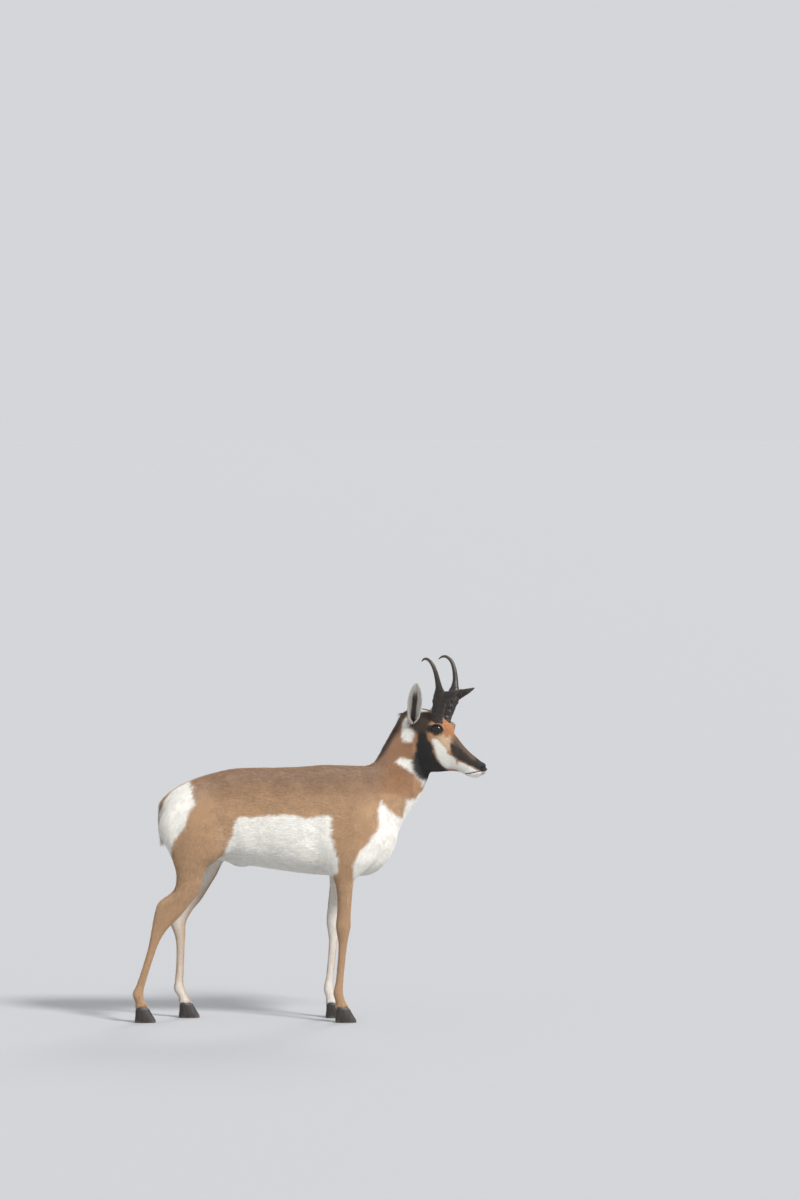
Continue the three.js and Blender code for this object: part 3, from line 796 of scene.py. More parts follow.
def markings(points, ear=None):
    """The coat's colour at points (n, 3) in station millimetres; `ear` is which ear a point
    is on, counted from 1, and 0 for the body."""
    x, y, z = points.T
    aside = np.abs(y)
    warp = 4 * waves(points, 70, 1) + 2.5 * waves(points, 22, 2)
    turned = 0.36 * (y + 55) * eased(z, 800, 900)  # the left cheek is further forward
    flat = np.stack([x - turned, z], 1)
    colours = np.tile(np.asarray(TAN, dtype=float), (len(points), 1))

    def paint(colour, amount):
        nonlocal colours
        colours = blend(colours, colour, amount)

    # upper body and neck darker from z 722 to 850: partly the back's real darker coat, partly painted
    # shade
    paint(BROWN_AND_PAINTED_SHADE, 0.9 * eased(z + 14 * waves(points, 120, 3), 722, 850) * (x < 330))
    paint(RUSSET, 0.35 * eased(x, 190, 280) * eased(z, 700, 800))
    for colour, soft, corners in BODY_MARKS:
        paint(colour, eased(inside(flat, corners) + warp, -soft, soft))
    under = eased(560 + 10 * waves(points, 90, 4) - z, 0, 24) * (z > 490) * (x > -330) * (x < 140)
    paint(WHITE, under * eased(-aside, -62, -48))
    inner = eased(-aside, -84, -64) * eased(650 - z, 0, 60) * (x < 240)
    paint(WHITE, 0.85 * inner * ((aside > 8) | (x > -500)))
    paint(WHITE, 0.8 * eased(-aside, -40, -20) * (x > 80) * (x < 230) * (z < 560))
    paint(TAN, eased(-aside + 3 * waves(points, 30, 6), -24, -10) * eased(-x, 380, 430) * (z > 735))
    tail = eased(-aside + 2 * waves(points, 18, 9) + 6 * eased(z, 640, 740), -11, -4)
    tail *= eased(-x, 500, 516) * eased(-z, -775, -755) * eased(z, 645, 680)
    paint(BROWN_AND_PAINTED_SHADE, 0.85 * tail)
    own = head_own(points)
    mane = eased(-aside, -34, -14) * eased(z, 880, 940) * (own[:, 0] < 20)
    paint(DARK, 0.9 * mane)
    own = folded(own)
    head = eased(own[:, 0], -2, 16) * (z > 815)
    warp = 2.2 * waves(points, 30, 7) + 1.4 * waves(points, 11, 8)
    for colour, soft, least, corners in HEAD_MARKS:
        amount = eased(inside(own[:, [0, 2]], corners) + warp, -soft, soft) * head
        paint(colour, amount * (eased(own[:, 1], least - 4, least + 4) if least else 1))
    eye = lengths(own - EYE)
    paint(BLACK, eased(-opening(own), -1.75, -1.2) * (eye < EYE_PATCH) * head)
    nostril = lengths((own - NOSTRIL) * [1, 0.7, 1])
    paint(BLACK, eased(-nostril, -12, -8) * head)
    seam, _ = to_line(own[:, [0, 2]], MOUTH)
    paint(BLACK, eased(-seam, -2.1, -0.8) * (own[:, 0] > 190) * head)
    if ear is not None:
        for number, one in enumerate(EARS):
            mine = ear == number + 1
            if mine.any():
                colours[mine] = ear_colours(one, head_own(points[mine]))
    return np.clip(colours, 0, 1)


def ear_colours(ear, own):
    """White rims and mouth, brown back, a dark edge towards the tip."""
    root, along, mouth, across = ear_frame(ear)
    t = (own - root) @ along / EAR_LENGTH
    middle, curl, radius = ear_arcs(ear, t)
    offset = own - middle
    reach = lengths(offset - along * (offset @ along)[:, None])
    sweep = np.abs(np.arctan2(offset @ across, -(offset @ mouth))) / curl
    inner = eased(radius - 0.45 * EAR_WALL - reach, -0.4, 0.4)
    colours = blend(np.tile(np.asarray(TAN, float), (len(own), 1)), BROWN_AND_PAINTED_SHADE, 0.5 * eased(-sweep, -0.6, -0.2))
    colours = blend(colours, WHITE, 0.9 * eased(sweep, 0.62, 0.8))
    slit = eased(-sweep, -0.46, -0.20) * eased(-t, -0.85, -0.55)
    colours = blend(colours, WHITE, inner)
    colours = blend(colours, (0.10, 0.065, 0.05), inner * slit)
    return blend(colours, DARK, 0.6 * eased(t, 0.95, 1.0) * (1 - inner))


def colour_points(thing, colours):
    """Writes colours (n, 3) as the point attribute that the materials read."""
    layer = thing.data.color_attributes.new("coat_colour", "FLOAT_COLOR", "POINT")
    full = np.concatenate([colours, np.ones((len(colours), 1))], 1).astype(np.float32)
    layer.data.foreach_set("color", full.ravel())


skin_colours = markings(points_of(skin.data), ear_of)
colour_points(skin, skin_colours)
print("white over", round(float((skin_colours.min(1) > 0.55).mean()), 2), "of the skin's points")

# %% [markdown]
# ## The lie of the coat
# Hair points away from the nose and down to the feet. The field below gives a direction for
# any point: backwards along the trunk, down the neck and the chest, down the legs, and from
# the nose to the ears on the head. It is then laid into the surface, square to the normal.

# %% Lie
def lie(points, normals, ear):
    """A mix of region directions, made square to the normals: d - n (n . d)."""
    x, y, z = points.T
    own = head_own(points)
    aside = np.abs(y)
    way = np.tile([-1.0, 0.0, -0.22], (len(points), 1))
    leg = np.maximum(eased(x, 15, 50), eased(-x, 300, 350)) * eased(-z, -640, -540)
    turns = [
        ([-0.75, 0, -0.75], eased(x, 60, 170) * eased(z, 500, 560)),
        ([-0.62, 0, -0.95], eased(x, 190, 260)),
        ([-0.25, 0, -1.0], eased(x - 0.35 * (z - 600), 225, 275)),
        ([-0.6, 0, -0.9], eased(-x, 300, 380)),
        ([-0.35, 0, -1.0], eased(-x, 430, 510)),
        ([-1.0, 0, -0.05], eased(-normals[:, 2], 0.45, 0.8) * (x < 160) * (x > -380)),
        ([-0.12, 0, -1.0], leg * eased(aside, 24, 50)),
        ([-0.1, 0, -1.0], eased(-z, -470, -420)),
    ]
    for direction, amount in turns:
        way = blend(way, direction, amount)
    on = eased(own[:, 0], -30, 20) * eased(z, 810, 850)
    back = np.tile([-HEAD_COS, HEAD_SIN, 0.10], (len(points), 1))
    cheek = eased(own[:, 0], 30, 110) * eased(-z, -960, -880)
    back = back + np.array([0, 0, -0.38]) * cheek[:, None]
    crown = eased(-own[:, 0], -95, -40) * eased(z, 1000, 1040)
    back = back + np.array([0, 0, -0.25]) * crown[:, None]
    way = blend(way, back, on)
    for number, one in enumerate(EARS):
        root, along, mouth, across = ear_frame(one)
        mine = ear == number + 1
        if mine.any():
            own_way = along + 0.15 * across * np.sign((own[mine] - root) @ across)[:, None]
            way[mine] = head_turned(own_way) - head_turned(np.zeros(3))
    way = way + 0.10 * np.stack([waves(points, 60, 20 + i) for i in range(3)], 1)
    return unit(way - normals * (way * normals).sum(1)[:, None])


# %% [markdown]
# ## Locks
# Real hairs are far too many and too thin for a mesh, so a lock stands for a few dozen that
# stick together. It is a flat, three-sided spike, wide at the root. A straight spike would
# dive into the hide where that curves up, so its tip is first brought back to a small height
# over the skin: a book of cells tells the nearest skin point, and the tip moves along that
# point's normal until its height over the tangent plane is right.

# %% Height over the skin
skin_points, skin_normals = points_of(skin.data), normals_of(skin.data)
CELL = 4.5
TURN_COST = 60  # square millimetres that a skin point facing another way counts as further off
FAR_OFF = 400.0  # square of the distance at which no skin point is near any more
MOST_MOVE = 12  # millimetres
BOOK_LOW = skin_points.min(0) - 4 * CELL
page = ((skin_points - BOOK_LOW) / CELL).astype(int)
book = np.full(page.max(0) + 6, -1, dtype=np.int32)
book[tuple(page.T)] = np.arange(len(skin_points))


def hugged(points, facing, height):
    """Points brought to `height` over the skin, along the normal of the nearest skin point
    that faces as `facing` does; nearest by squared distance + TURN_COST * (1 - n . facing)."""
    for _ in range(2):
        cell = np.clip(((points - BOOK_LOW) / CELL).astype(int), 1, np.array(book.shape) - 2)
        best = np.full(len(points), FAR_OFF)
        nearest = np.full(len(points), -1)
        for step in np.ndindex(3, 3, 3):
            found = book[tuple((cell + np.array(step) - 1).T)]
            far = ((points - skin_points[found]) ** 2).sum(1)
            far += TURN_COST * (1 - (skin_normals[found] * facing).sum(1))
            better = (found >= 0) & (far < best)
            best = np.where(better, far, best)
            nearest = np.where(better, found, nearest)
        normal = skin_normals[nearest]
        over = ((points - skin_points[nearest]) * normal).sum(1)
        move = np.clip(height - over, -MOST_MOVE, MOST_MOVE) * (nearest >= 0)
        points = points + normal * move[:, None]
    return points


# %% Roots and locks
COAT_UV_PATCH = 0.003
CORNER_ANGLES = np.radians([-160.0, -20.0, 90.0])
LOCK_FACES = np.array([(0, 1, 3), (1, 2, 3), (2, 0, 3)])  # open at the root, inside the skin
ROOT_DEPTH, LOCK_FLATNESS = 0.8, 0.42
HOOF_HANG = 4.5  # how far the lowest tips stand out over the hoof


def scatter(count, weights, corner_points, corner_normals):
    """Random roots: a triangle is drawn by its weight, and a place in it by two numbers, one of
    them square-rooted so that the roots are even. Returns the triangle numbers, points,
    normals and UVs."""
    ladder = np.cumsum(weights)
    which = np.searchsorted(ladder, random.random(count) * ladder[-1])
    a, b = np.sqrt(random.random(count)), random.random(count)
    share = np.stack([1 - a, a * (1 - b), a * b], 1)[:, :, None]
    return (which, (corner_points[which] * share).sum(1),
            unit((corner_normals[which] * share).sum(1)), (skin_uv[which] * share).sum(1))


def lock_points(roots, normals, ways, length, width, lift, stray):
    """Points (n, 4, 3). Tip: root + way * length + side * stray * length, at the height
    lift * length over the skin. The three root points stand round the root, a little deep:
    side * width * cos(angle) + normal * (LOCK_FLATNESS * width * sin(angle) - ROOT_DEPTH)."""
    side = np.cross(ways, normals)
    straight = roots + (ways + side * stray[:, None]) * length[:, None]
    over_hoof = straight[:, 2:] < CORONET + 10  # the lowest hair hangs over the hoof
    tips = np.where(over_hoof, straight + HOOF_HANG * normals, hugged(straight, normals, lift * length))
    side = unit(np.cross(tips - roots, normals))
    ring = [roots - normals * ROOT_DEPTH + side * (width * np.cos(angle))[:, None]
            + normals * (LOCK_FLATNESS * width * np.sin(angle))[:, None] for angle in CORNER_ANGLES]
    return np.stack(ring + [tips], 1)


def coat_piece(name, points, uvs, colours):
    """One mesh of locks with the coat_colour attribute and the OFBake map."""
    n = len(points)
    faces = (LOCK_FACES[None] + (np.arange(n) * 4)[:, None, None]).reshape(-1, 3)
    thing = mesh_object(name, placed(points.reshape(-1, 3)), faces)
    shade = np.array([ROOT_SHADE] * 3 + [TIP_SHADE])[None, :, None]
    colour_points(thing, np.clip(colours[:, None] * shade, 0, 1).reshape(-1, 3))
    thing.data.shade_flat()
    spread = COAT_UV_PATCH / 2 * np.append(np.stack([np.cos(CORNER_ANGLES), np.sin(CORNER_ANGLES)], 1),
                                           [[0, 0]], axis=0)
    uv = (np.clip(uvs, 0.002, 0.998)[:, None] + spread[None]).reshape(-1, 2)
    layer = thing.data.uv_layers.new(name="OFBake")
    layer.data.foreach_set("uv", np.ascontiguousarray(uv[faces.ravel()], dtype=np.float32).ravel())
    return thing


def dealt(name, parts, locks, uvs, colours):
    """Locks dealt at random into `parts` pieces."""
    hands = np.array_split(random.permutation(len(locks)), parts)
    return [coat_piece(f"{name}_{k + 1}", locks[hand], uvs[hand], colours[hand])
            for k, hand in enumerate(hands)]


# %% Where the coat grows
corners = taken(skin.data.loops, "vertex_index", 1, np.int32).reshape(-1, 3)
corner_points, corner_normals = skin_points[corners], skin_normals[corners]
sides = corner_points[:, 1:] - corner_points[:, :1]
area = lengths(np.cross(sides[:, 0], sides[:, 1])) / 2
middle = corner_points.mean(1)
on_ear = ear_of[corners[:, 0]] > 0
own = folded(head_own(middle))
bare = (opening(own) < 1.42) & (lengths(own - EYE) < EYE_PATCH)
bare |= lengths((own - NOSTRIL) * [1, 0.7, 1]) < 9
bare |= (own[:, 0] > 262) & (own[:, 2] > 858)
bare |= lengths((own - [262, 0, 868]) * [1, 0.5, 1]) < 12
bare |= middle[:, 2] < CORONET + 1
mouth_gap, _ = to_line(own[:, [0, 2]], MOUTH)
bare |= (mouth_gap < 2.2) & (own[:, 0] > 192)
bare &= ~on_ear
head_part = eased(own[:, 0], -20, 40) * eased(middle[:, 2], 808, 828)
head_part = np.where(on_ear, 1.0, head_part)
low_part = eased(-middle[:, 2], -480, -400)
fine_part = np.maximum(head_part, low_part)
density = 0.75 + 0.85 * head_part + 0.6 * (own[:, 0] > 120) * head_part
fine_weight = area * np.where(bare, 0, fine_part * density)
body_weight = area * np.where(bare, 0, 1 - fine_part)
print("fur on", round(area[~bare].sum() / 1e6, 3), "square metres of", round(area.sum() / 1e6, 3))

# %% Fine coat of face, ears and shanks
FINE, BODY = ((200000, 275000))
ROOT_SHADE, TIP_SHADE = 0.80, 1.08


def paled(colours, spread):
    """Each lock a little lighter or darker, and a little warmer or cooler, than the next."""
    tone = 1 + spread * random.normal(size=len(colours))
    warm = 1 + 0.35 * spread * random.normal(size=(len(colours), 1)) * np.array([1.0, 0.0, -1.0])
    return np.clip(colours * np.clip(tone, 0.55, 1.4)[:, None] * warm, 0.004, 0.92)


which, roots, normals, uvs = scatter(FINE, fine_weight, corner_points, corner_normals)
ear = ear_of[corners[which, 0]]
own = head_own(roots)
inner_ear = np.zeros(FINE, dtype=bool)
for number, one in enumerate(EARS):
    mine = ear == number + 1
    root, along, mouth, across = ear_frame(one)
    t = (own[mine] - root) @ along / EAR_LENGTH
    centre, curl, radius = ear_arcs(one, t)
    inner_ear[mine] = lengths(own[mine] - centre) < radius - 0.5 * EAR_WALL
ways = lie(roots, normals, ear)
snout = eased(own[:, 0], 120, 255) * (roots[:, 2] > 800)
length = 10.0 - 6.0 * snout - 1.5 * eased(-roots[:, 2], -420, -250)
length = np.where(ear > 0, np.where(inner_ear, 9.0, 6.5), length) * random.uniform(0.7, 1.25, FINE)
width = (0.95 - 0.4 * snout) * random.uniform(0.75, 1.2, FINE)
width = np.where(ear > 0, 0.65, width)
lift = np.where(inner_ear, 0.30, 0.08 + 0.10 * random.random(FINE))
stray = 0.10 * random.normal(size=FINE)
locks = lock_points(roots, normals, ways, length, width, lift, stray)
colours = paled(markings(roots, ear), 0.10)
pieces = dealt("coat_fine", 4, locks, uvs, colours)
print("fine coat", [len(p.data.polygons) for p in pieces], "triangles")

# %% [markdown]
# ## Body coat
# The body's hair is coarse and brittle, 23 mm on the flank, and longer on the rump, whose
# white patch the animal can spread, and down the back of the neck as a short mane.

# %% Body coat
which, roots, normals, uvs = scatter(BODY, body_weight, corner_points, corner_normals)
ways = lie(roots, normals, np.zeros(BODY, dtype=int))
x, y, z = roots.T
rump = eased(-x, 430, 490)
mane = eased(-np.abs(y), -30, -8) * eased(z, 880, 940) * (x > 180)
leg = eased(-z, -600, -470)
length = 23 + 9 * rump + 14 * mane - 10 * leg - 4 * eased(x, 200, 280)
length = length * random.uniform(0.72, 1.22, BODY)
width = (1.5 - 0.45 * leg) * random.uniform(0.75, 1.2, BODY)
lift = 0.05 + 0.09 * random.random(BODY) ** 2 + 0.10 * rump + 0.12 * mane
lift = lift + 0.02 * waves(roots, 45, 31)
stray = 0.10 * random.normal(size=BODY) + 0.06 * waves(roots, 35, 32)
locks = lock_points(roots, normals, ways, length, width, lift, stray)
colours = paled(markings(roots), 0.08) * (1 + 0.05 * waves(roots, 30, 33))[:, None]
pieces += dealt("coat_body", 5, locks, uvs, colours)
print("whole coat", sum(len(p.data.polygons) for p in pieces), "triangles")
set_points(skin.data, placed(skin_points))

# %% [markdown]
# ## Eyes
# The eyeball is a ball of 37 mm with the cornea standing a little higher over the iris. Its
# colours run in rings about the axis it looks along: the wide, level pupil of a grazer, a
# dark brown iris with streaks, a near-black edge, and a paler ring under the lids.

# %% Eyes
EYE_ROWS, EYE_AROUND = 110, 128
SIDES = {"right": -1, "left": 1}


def eye_object(name, sign):
    """Ball: centre + radius * (sin a cos b, sin a sin b, cos a) on the eye's three axes, with
    radius = EYE_RADIUS - 0.3 + 0.7 * exp(-(a / 0.6)^4), the last term for the cornea."""
    flip = np.array([1, sign, 1])
    centre, out, long, up = EYE * flip, EYE_OUT * flip, EYE_LONG * flip, EYE_UP * flip
    a = np.linspace(0.004, np.pi - 0.004, EYE_ROWS)[:, None]
    b = np.linspace(0, 2 * np.pi, EYE_AROUND, endpoint=False)[None]
    radius = EYE_RADIUS + 0.7 * np.exp(-(a / 0.6) ** 4) - 0.3
    ball = centre + radius[..., None] * ((np.sin(a) * np.cos(b))[..., None] * long
                                         + (np.sin(a) * np.sin(b))[..., None] * up
                                         + (np.cos(a) * np.ones_like(b))[..., None] * out)
    points, faces = rings_mesh(ball)
    thing = mesh_object(name, placed(head_turned(points)), faces)
    way = unit(points - centre)
    u, v, w = way @ long, way @ up, way @ out
    tilt = np.arccos(np.clip(w, -1, 1))
    turn = np.arctan2(v, u)
    streak = 0.5 + 0.5 * np.sin(turn * 43 + 3 * np.sin(turn * 7))
    colours = np.tile((0.010, 0.0055, 0.0035), (len(points), 1)) * (0.7 + 0.6 * streak)[:, None]
    colours = blend(colours, (0.010, 0.007, 0.006), eased(tilt, 0.62, 0.74))
    colours = blend(colours, (0.06, 0.045, 0.04), 0.8 * eased(tilt, 1.05, 1.2))
    pupil = np.sqrt((u / 0.36) ** 2 + (v / 0.17) ** 2)
    colours = blend(colours, (0.001, 0.001, 0.002), eased(-pupil, -1.12, -0.9) * (w > 0))
    colour_points(thing, colours)
    return thing


eyes = {f"eye_{side}": eye_object(f"eye_{side}_ball", sign) for side, sign in SIDES.items()}

# %% Lashes
LASHES = 46  # to an eye


def lashes():
    """Curved spikes along the upper lid: out from the ball and forward, drooping with f^2."""
    u = np.linspace(-0.66, 0.72, LASHES) + random.normal(0, 0.01, LASHES)
    v = (0.60 - 0.20 * u**2) * np.sqrt(np.maximum(1.0 - (u / 0.86) ** 2, 0.02)) * 1.02
    v = v + random.uniform(0, 0.05, LASHES)
    root = unit(u[:, None] * EYE_LONG + v[:, None] * EYE_UP
                + np.sqrt(np.maximum(1 - u**2 - v**2, 0.05))[:, None] * EYE_OUT)
    way = unit(root + 0.55 * EYE_LONG * u[:, None] - 0.15 * EYE_UP)
    side = unit(np.cross(way, EYE_UP))
    size = 10.0 * random.uniform(0.7, 1.1, LASHES) * (1 - 0.35 * np.abs(u))
    both = []
    for sign in (-1, 1):
        flip = np.array([1, sign, 1])
        parts = []
        for f in np.linspace(0, 1, 5):
            middle = EYE + root * (EYE_RADIUS + 1.5) + way * (size * f)[:, None] \
                + EYE_UP * (size * (0.30 * f - 0.55 * f * f))[:, None]
            for angle in (0, 2.1, 4.2):
                thick = 0.34 * (1 - 0.9 * f)
                parts.append((middle + thick * (np.cos(angle) * side + np.sin(angle) * EYE_UP)) * flip)
        both.append(np.stack(parts, 1).reshape(LASHES, 5, 3, 3))
    points, faces = joined(np.concatenate(both))
    return mesh_object("lashes", placed(head_turned(points)), faces)


lash_piece = lashes()
print("eyes", [len(e.data.polygons) for e in eyes.values()], "lashes", len(lash_piece.data.polygons))

# %% [markdown]
# ## Horns
# A pronghorn's horn is a sheath of keratin over a bony core: broad and flat at the base,
# rough with ridges and stray hairs low down, with one prong forward and a smooth, hooked tip.
# Shaft and prong are lofts with elliptical sections square to their paths, fused by a voxel
# remesh, and the ridges are a noise stretched six times along the horn.

# %% Horns
HORN = [  # s, z, aside, half depth, half thickness
    [98, 1018, 33, 18.5, 15.5], [101, 1045, 39, 20.5, 16], [109, 1074, 47, 22, 15],
    [116, 1099, 54, 24, 13.5], [119, 1120, 60, 21, 12.5], [119, 1139, 67, 13, 11],
    [118, 1158, 73, 9.6, 9.6], [115, 1178, 77, 8.3, 8.3], [110, 1199, 80, 7.3, 7.3],
    [100, 1222, 82, 6.4, 6.4], [84, 1237, 80, 5.2, 5.2], [68, 1238, 76, 3.8, 3.8],
    [56, 1229, 71, 1.4, 1.4],
]
PRONG = [[112, 1100, 56, 21, 11], [136, 1112, 59, 17, 10], [156, 1119, 61, 12, 8], [176, 1127, 64, 7, 6],
         [192, 1135, 66, 2, 2]]
HORN_VOXEL = 1.5
RIDGE_STRETCH = 0.16


def horn_rings(rows, sections, around=40):
    """Ellipses square to the path: middle + deep * cos(t) * depth + across * sin(t) * thick."""
    s, z, a, depth, thick = through(rows, sections).T
    path = np.stack([s, a, z], 1)
    along = unit(np.gradient(path, axis=0))
    across = unit(np.array([0.0, 1.0, 0.0]) - along * along[:, 1:2])
    deep = np.cross(along, across)
    t = np.linspace(0, 2 * np.pi, around, endpoint=False)[None, :, None]
    return path[:, None] + deep[:, None] * depth[:, None, None] * np.cos(t) \
        + across[:, None] * thick[:, None, None] * np.sin(t)


def horn_object(name, sign):
    """Shaft and prong fused, ridged and coloured; `sign` is -1 for the right horn."""
    thing = fused_object(name, [horn_rings(HORN, 90), horn_rings(PRONG, 40)], HORN_VOXEL)
    mesh = thing.data
    points = relaxed(points_of(mesh), edges_of(mesh), 10)
    set_points(mesh, points)
    normals = normals_of(mesh)
    low = eased(-points[:, 2], -1175, -1090)
    lengthways = points * [1, 1, RIDGE_STRETCH]
    ridges = np.abs(waves(lengthways, 9, 41, 7))
    ridges = (ridges - 0.4) * 1.6 * low + 0.7 * waves(lengthways, 5, 42, 7) * low
    lumps = 0.8 * waves(points, 24, 43) * low + 0.12 * waves(points * [1, 1, 0.3], 3, 44)
    rings = 0.35 * np.sin(points[:, 2] / 2.6 + 2 * waves(points, 20, 45))
    rings = rings * eased(-points[:, 2], -1085, -1040)
    knob = 3.2 * bell(points[:, [0, 2]] - [88, 1096], [9, 8])
    knob += 2.4 * bell(points[:, [0, 2]] - [84, 1070], [7, 6])
    rise = ridges + lumps + rings + knob
    points = points + normals * rise[:, None]
    shade = np.clip(0.55 + 0.30 * rise / 1.5 + 0.15 * waves(points, 16, 46), 0.15, 1.2)
    colours = np.array([0.022, 0.017, 0.014]) * (0.6 + shade[:, None])
    tip = np.maximum(eased(points[:, 2], 1170, 1240), eased(points[:, 0], 165, 195))
    colours = blend(colours, (0.10, 0.075, 0.055), 0.45 * tip)
    colours = blend(colours, (0.07, 0.052, 0.040), 0.7 * eased(-points[:, 2], -1062, -1030) * shade)
    points = points * [1, sign, 1]
    set_points(mesh, placed(head_turned(points)))
    if sign < 0:
        mesh.flip_normals()
    colour_points(thing, colours)
    return thing


horns = {f"horn_{side}": horn_object(f"horn_{side}_sheath", sign) for side, sign in SIDES.items()}
print("horns", [len(h.data.polygons) for h in horns.values()], "faces")

# %% [markdown]
# ## Hooves
# Each foot stands on two toes. A toe is a stack of rings, `middle + cos(t) * half` forward and
# `half thickness * sin(t) * (1 - 0.3 cos(t)) / 1.04` aside, so that it narrows to the front,
# with fine growth rings parallel to the hair line and a flat sole with a sharp edge.

# %% Hooves
CORONETS = {"foreleg_right": (106, 62, -79), "foreleg_left": (72, 28, 79),
            "hind_leg_right": (-576, -619, -83), "hind_leg_left": (-431, -474, 83)}
TOE_APART = 14.2  # from the leg's middle to a toe's
TOE_ROWS, TOE_AROUND = 66, 56
TOE = [  # z, forward of the coronet's front, back of its rear, half thickness
    [53, -7, 7, 7.0], [45.7, 0.5, 0.5, 10.4], [42, 3, -0.5, 10.9], [26, 12, -1, 12], [7, 23.5, -3, 12.4],
    [0.8, 24.6, -1.2, 11.6], [0, 23.8, -0.6, 11.0],
]


def toe_rings(front, back, aside):
    """A toe's rings between the coronet's front and back, with its middle at `aside`."""
    z, ahead, behind, thick = through(TOE, TOE_ROWS).T
    z = np.clip(z, 0, None)
    half = (front + ahead - back - behind) / 2
    middle = (front + ahead + back + behind) / 2
    t = np.linspace(0, 2 * np.pi, TOE_AROUND, endpoint=False)[None]
    grow = 0.13 * np.sin(z * 1.9 + 1.6 * np.sin(z * 0.31))[:, None] * (z > 2)[:, None]
    x = middle[:, None] + np.cos(t) * (half[:, None] + grow)
    y = aside + (thick[:, None] + grow) * np.sin(t) * (1 - 0.3 * np.cos(t)) / 1.04
    return np.stack([x, y, np.repeat(z[:, None], TOE_AROUND, 1)], -1)


points, faces = joined([toe_rings(front, back, aside + sign * TOE_APART)
                        for front, back, aside in CORONETS.values() for sign in (-1, 1)])
hooves = mesh_object("hooves", placed(points), faces)
worn = waves(points, 30, 51)
growth = waves(points * [1, 1, 3], 9, 52)
colours = np.array([0.030, 0.024, 0.020]) * (1 + 0.35 * growth + 0.2 * worn)[:, None]
colours = blend(colours, (0.13, 0.10, 0.075), 0.6 * eased(-points[:, 2] + 3 * worn, -9, 1))
colour_points(hooves, np.clip(colours, 0.004, 1))
print("hooves", len(hooves.data.polygons), "triangles")

# %% [markdown]
# ## Finishes
# All colours were worked out with the shapes, so each material reads the `coat_colour`
# attribute and adds what light needs: hair is dull with a faint sheen, horn is waxy with fine
# grain, hooves are duller and scratched, and the eye is wet, under a clear coat.

# %% Materials
def plain(name, roughness, **settings):
    """A principled shader with sockets set by name, an underline standing for a space."""
    made = bpy.data.materials.new(name)
    made.use_nodes = True
    shader = made.node_tree.nodes["Principled BSDF"]
    for socket, value in dict(settings, Roughness=roughness).items():
        shader.inputs[socket.replace("_", " ")].default_value = value
    return made


def material(name, roughness, bump=0.0, scale=300.0, stretch=(1, 1, 1), spread=0.15, **settings):
    """A principled shader: attribute colour times a noise near one, and a bump of the same."""
    made = plain(name, roughness, **settings)
    nodes = made.node_tree.nodes

    def node(kind, **inputs):
        new = nodes.new("ShaderNode" + kind)
        for socket, value in inputs.items():
            new.inputs[socket.replace("_", " ")].default_value = value
        return new

    colour = node("VertexColor")
    colour.layer_name = "coat_colour"
    place = node("TexCoord")
    mapping = node("Mapping", Scale=stretch)
    noise = node("TexNoise", Scale=scale, Detail=4.0)
    span = node("MapRange", To_Min=1 - spread, To_Max=1 + spread)
    times = node("VectorMath")
    times.operation = "SCALE"
    shader = nodes["Principled BSDF"]
    wires = [(place, "Object", mapping, "Vector"), (mapping, "Vector", noise, "Vector"),
             (noise, "Fac", span, "Value"), (colour, "Color", times, 0),
             (span, "Result", times, "Scale"), (times, "Vector", shader, "Base Color")]
    if bump:
        relief = node("Bump", Strength=bump, Distance=0.001)
        wires += [(noise, "Fac", relief, "Height"), (relief, "Normal", shader, "Normal")]
    for source, output, target, socket in wires:
        made.node_tree.links.new(source.outputs[output], target.inputs[socket])
    return made


def dress(thing, made, slot, *nodes_replaced):
    """Gives a piece its material and its body, and hides the CAD nodes it stands for; `slot` is not used.
    """
    thing.data.materials.clear()
    thing.data.materials.append(made)
    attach(thing, "root")
    if nodes_replaced:
        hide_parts(*nodes_replaced)


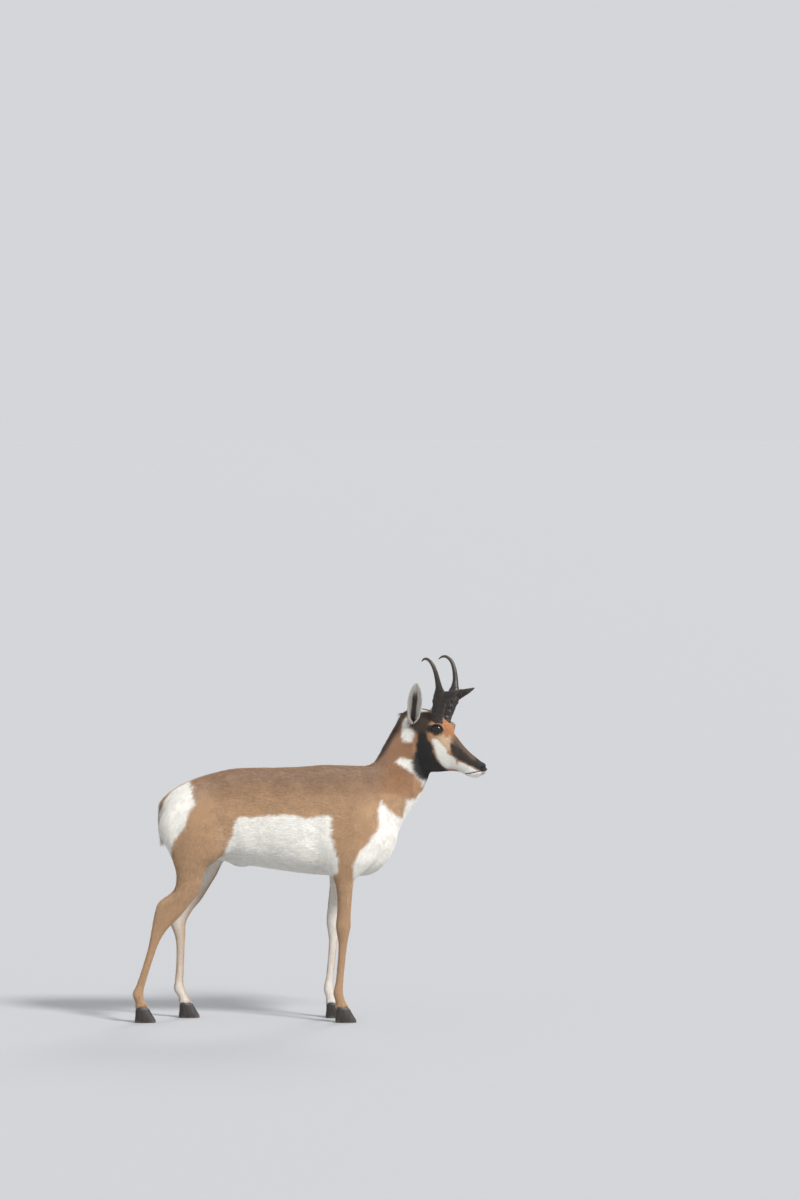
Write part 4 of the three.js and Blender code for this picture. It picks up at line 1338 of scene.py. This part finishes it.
fur = material("fur", 0.62, spread=0.10, scale=260.0, Sheen_Weight=0.25, Sheen_Roughness=0.5)
hide = material("hide", 0.85, bump=0.5, scale=520.0, stretch=(0.35, 1, 0.6))
keratin = material("horn_keratin", 0.42, bump=0.5, scale=420.0, stretch=(1, 1, 0.18))
hoof_horn = material("hoof_horn", 0.5, bump=0.4, scale=380.0, stretch=(1, 1, 0.25), spread=0.25)
wet_eye = material("wet_eye", 0.25, scale=900.0, spread=0.2, Specular_IOR_Level=0.1, Coat_Weight=1.0,
                   Coat_Roughness=0.03)
lash_hair = plain("lash_hair", 0.5, Base_Color=(0.012, 0.010, 0.009, 1))

dress(skin, hide, "coat", "trunk", "neck", "head", "tail", "ear_left", "ear_right",
      *[f"{leg}_{part}" for leg in LEGS for part in ("upper", "lower")])
for piece in pieces:
    dress(piece, fur, "coat")
for name, thing in eyes.items():
    dress(thing, wet_eye, "eye", name)
dress(lash_piece, lash_hair, "coat")
for name, thing in horns.items():
    dress(thing, keratin, "horn", name, name + "_prong")
dress(hooves, hoof_horn, "hoof", *[f"{leg}_hoof_{toe}" for leg in LEGS for toe in ("outer", "inner")])
print("finishes", [m.name for m in (fur, hide, keratin, hoof_horn, wet_eye, lash_hair)])

# %% [markdown]
# ## Floor and light
# A plain pale floor and a soft light: a wide sun from the front right, high up, and a pale
# sky all round, so that the shadow side still shows its markings.

# %% Floor and light
FLOOR = np.array([[-40, -40, 0], [40, -40, 0], [40, 60, 0], [-40, 60, 0]], dtype=float)  # metres
floor = mesh_object("floor", FLOOR, np.array([[0, 1, 2, 3]]))
floor.data.materials.append(plain("plaster", 0.9, Base_Color=(0.405, 0.41, 0.42, 1)))


def sun(name, strength, angle, tilt, turn):
    """A sun `angle` degrees wide, tilted from overhead and turned about the vertical."""
    data = bpy.data.lights.new(name, "SUN")
    data.energy = strength
    data.angle = np.radians(angle)
    lamp = bpy.data.objects.new(name, data)
    lamp.rotation_euler = (np.radians(tilt), 0, np.radians(turn))
    bpy.context.collection.objects.link(lamp)


sun("key", 3.4, 12, 48, 42)
sun("rim", 0.8, 20, 60, 160)
sky = bpy.data.worlds.new("sky")
sky.use_nodes = True
sky.node_tree.nodes["Background"].inputs["Color"].default_value = (0.84, 0.86, 0.89, 1)
sky.node_tree.nodes["Background"].inputs["Strength"].default_value = 0.78
bpy.context.scene.world = sky
bpy.context.scene.view_settings.view_transform = "Standard"
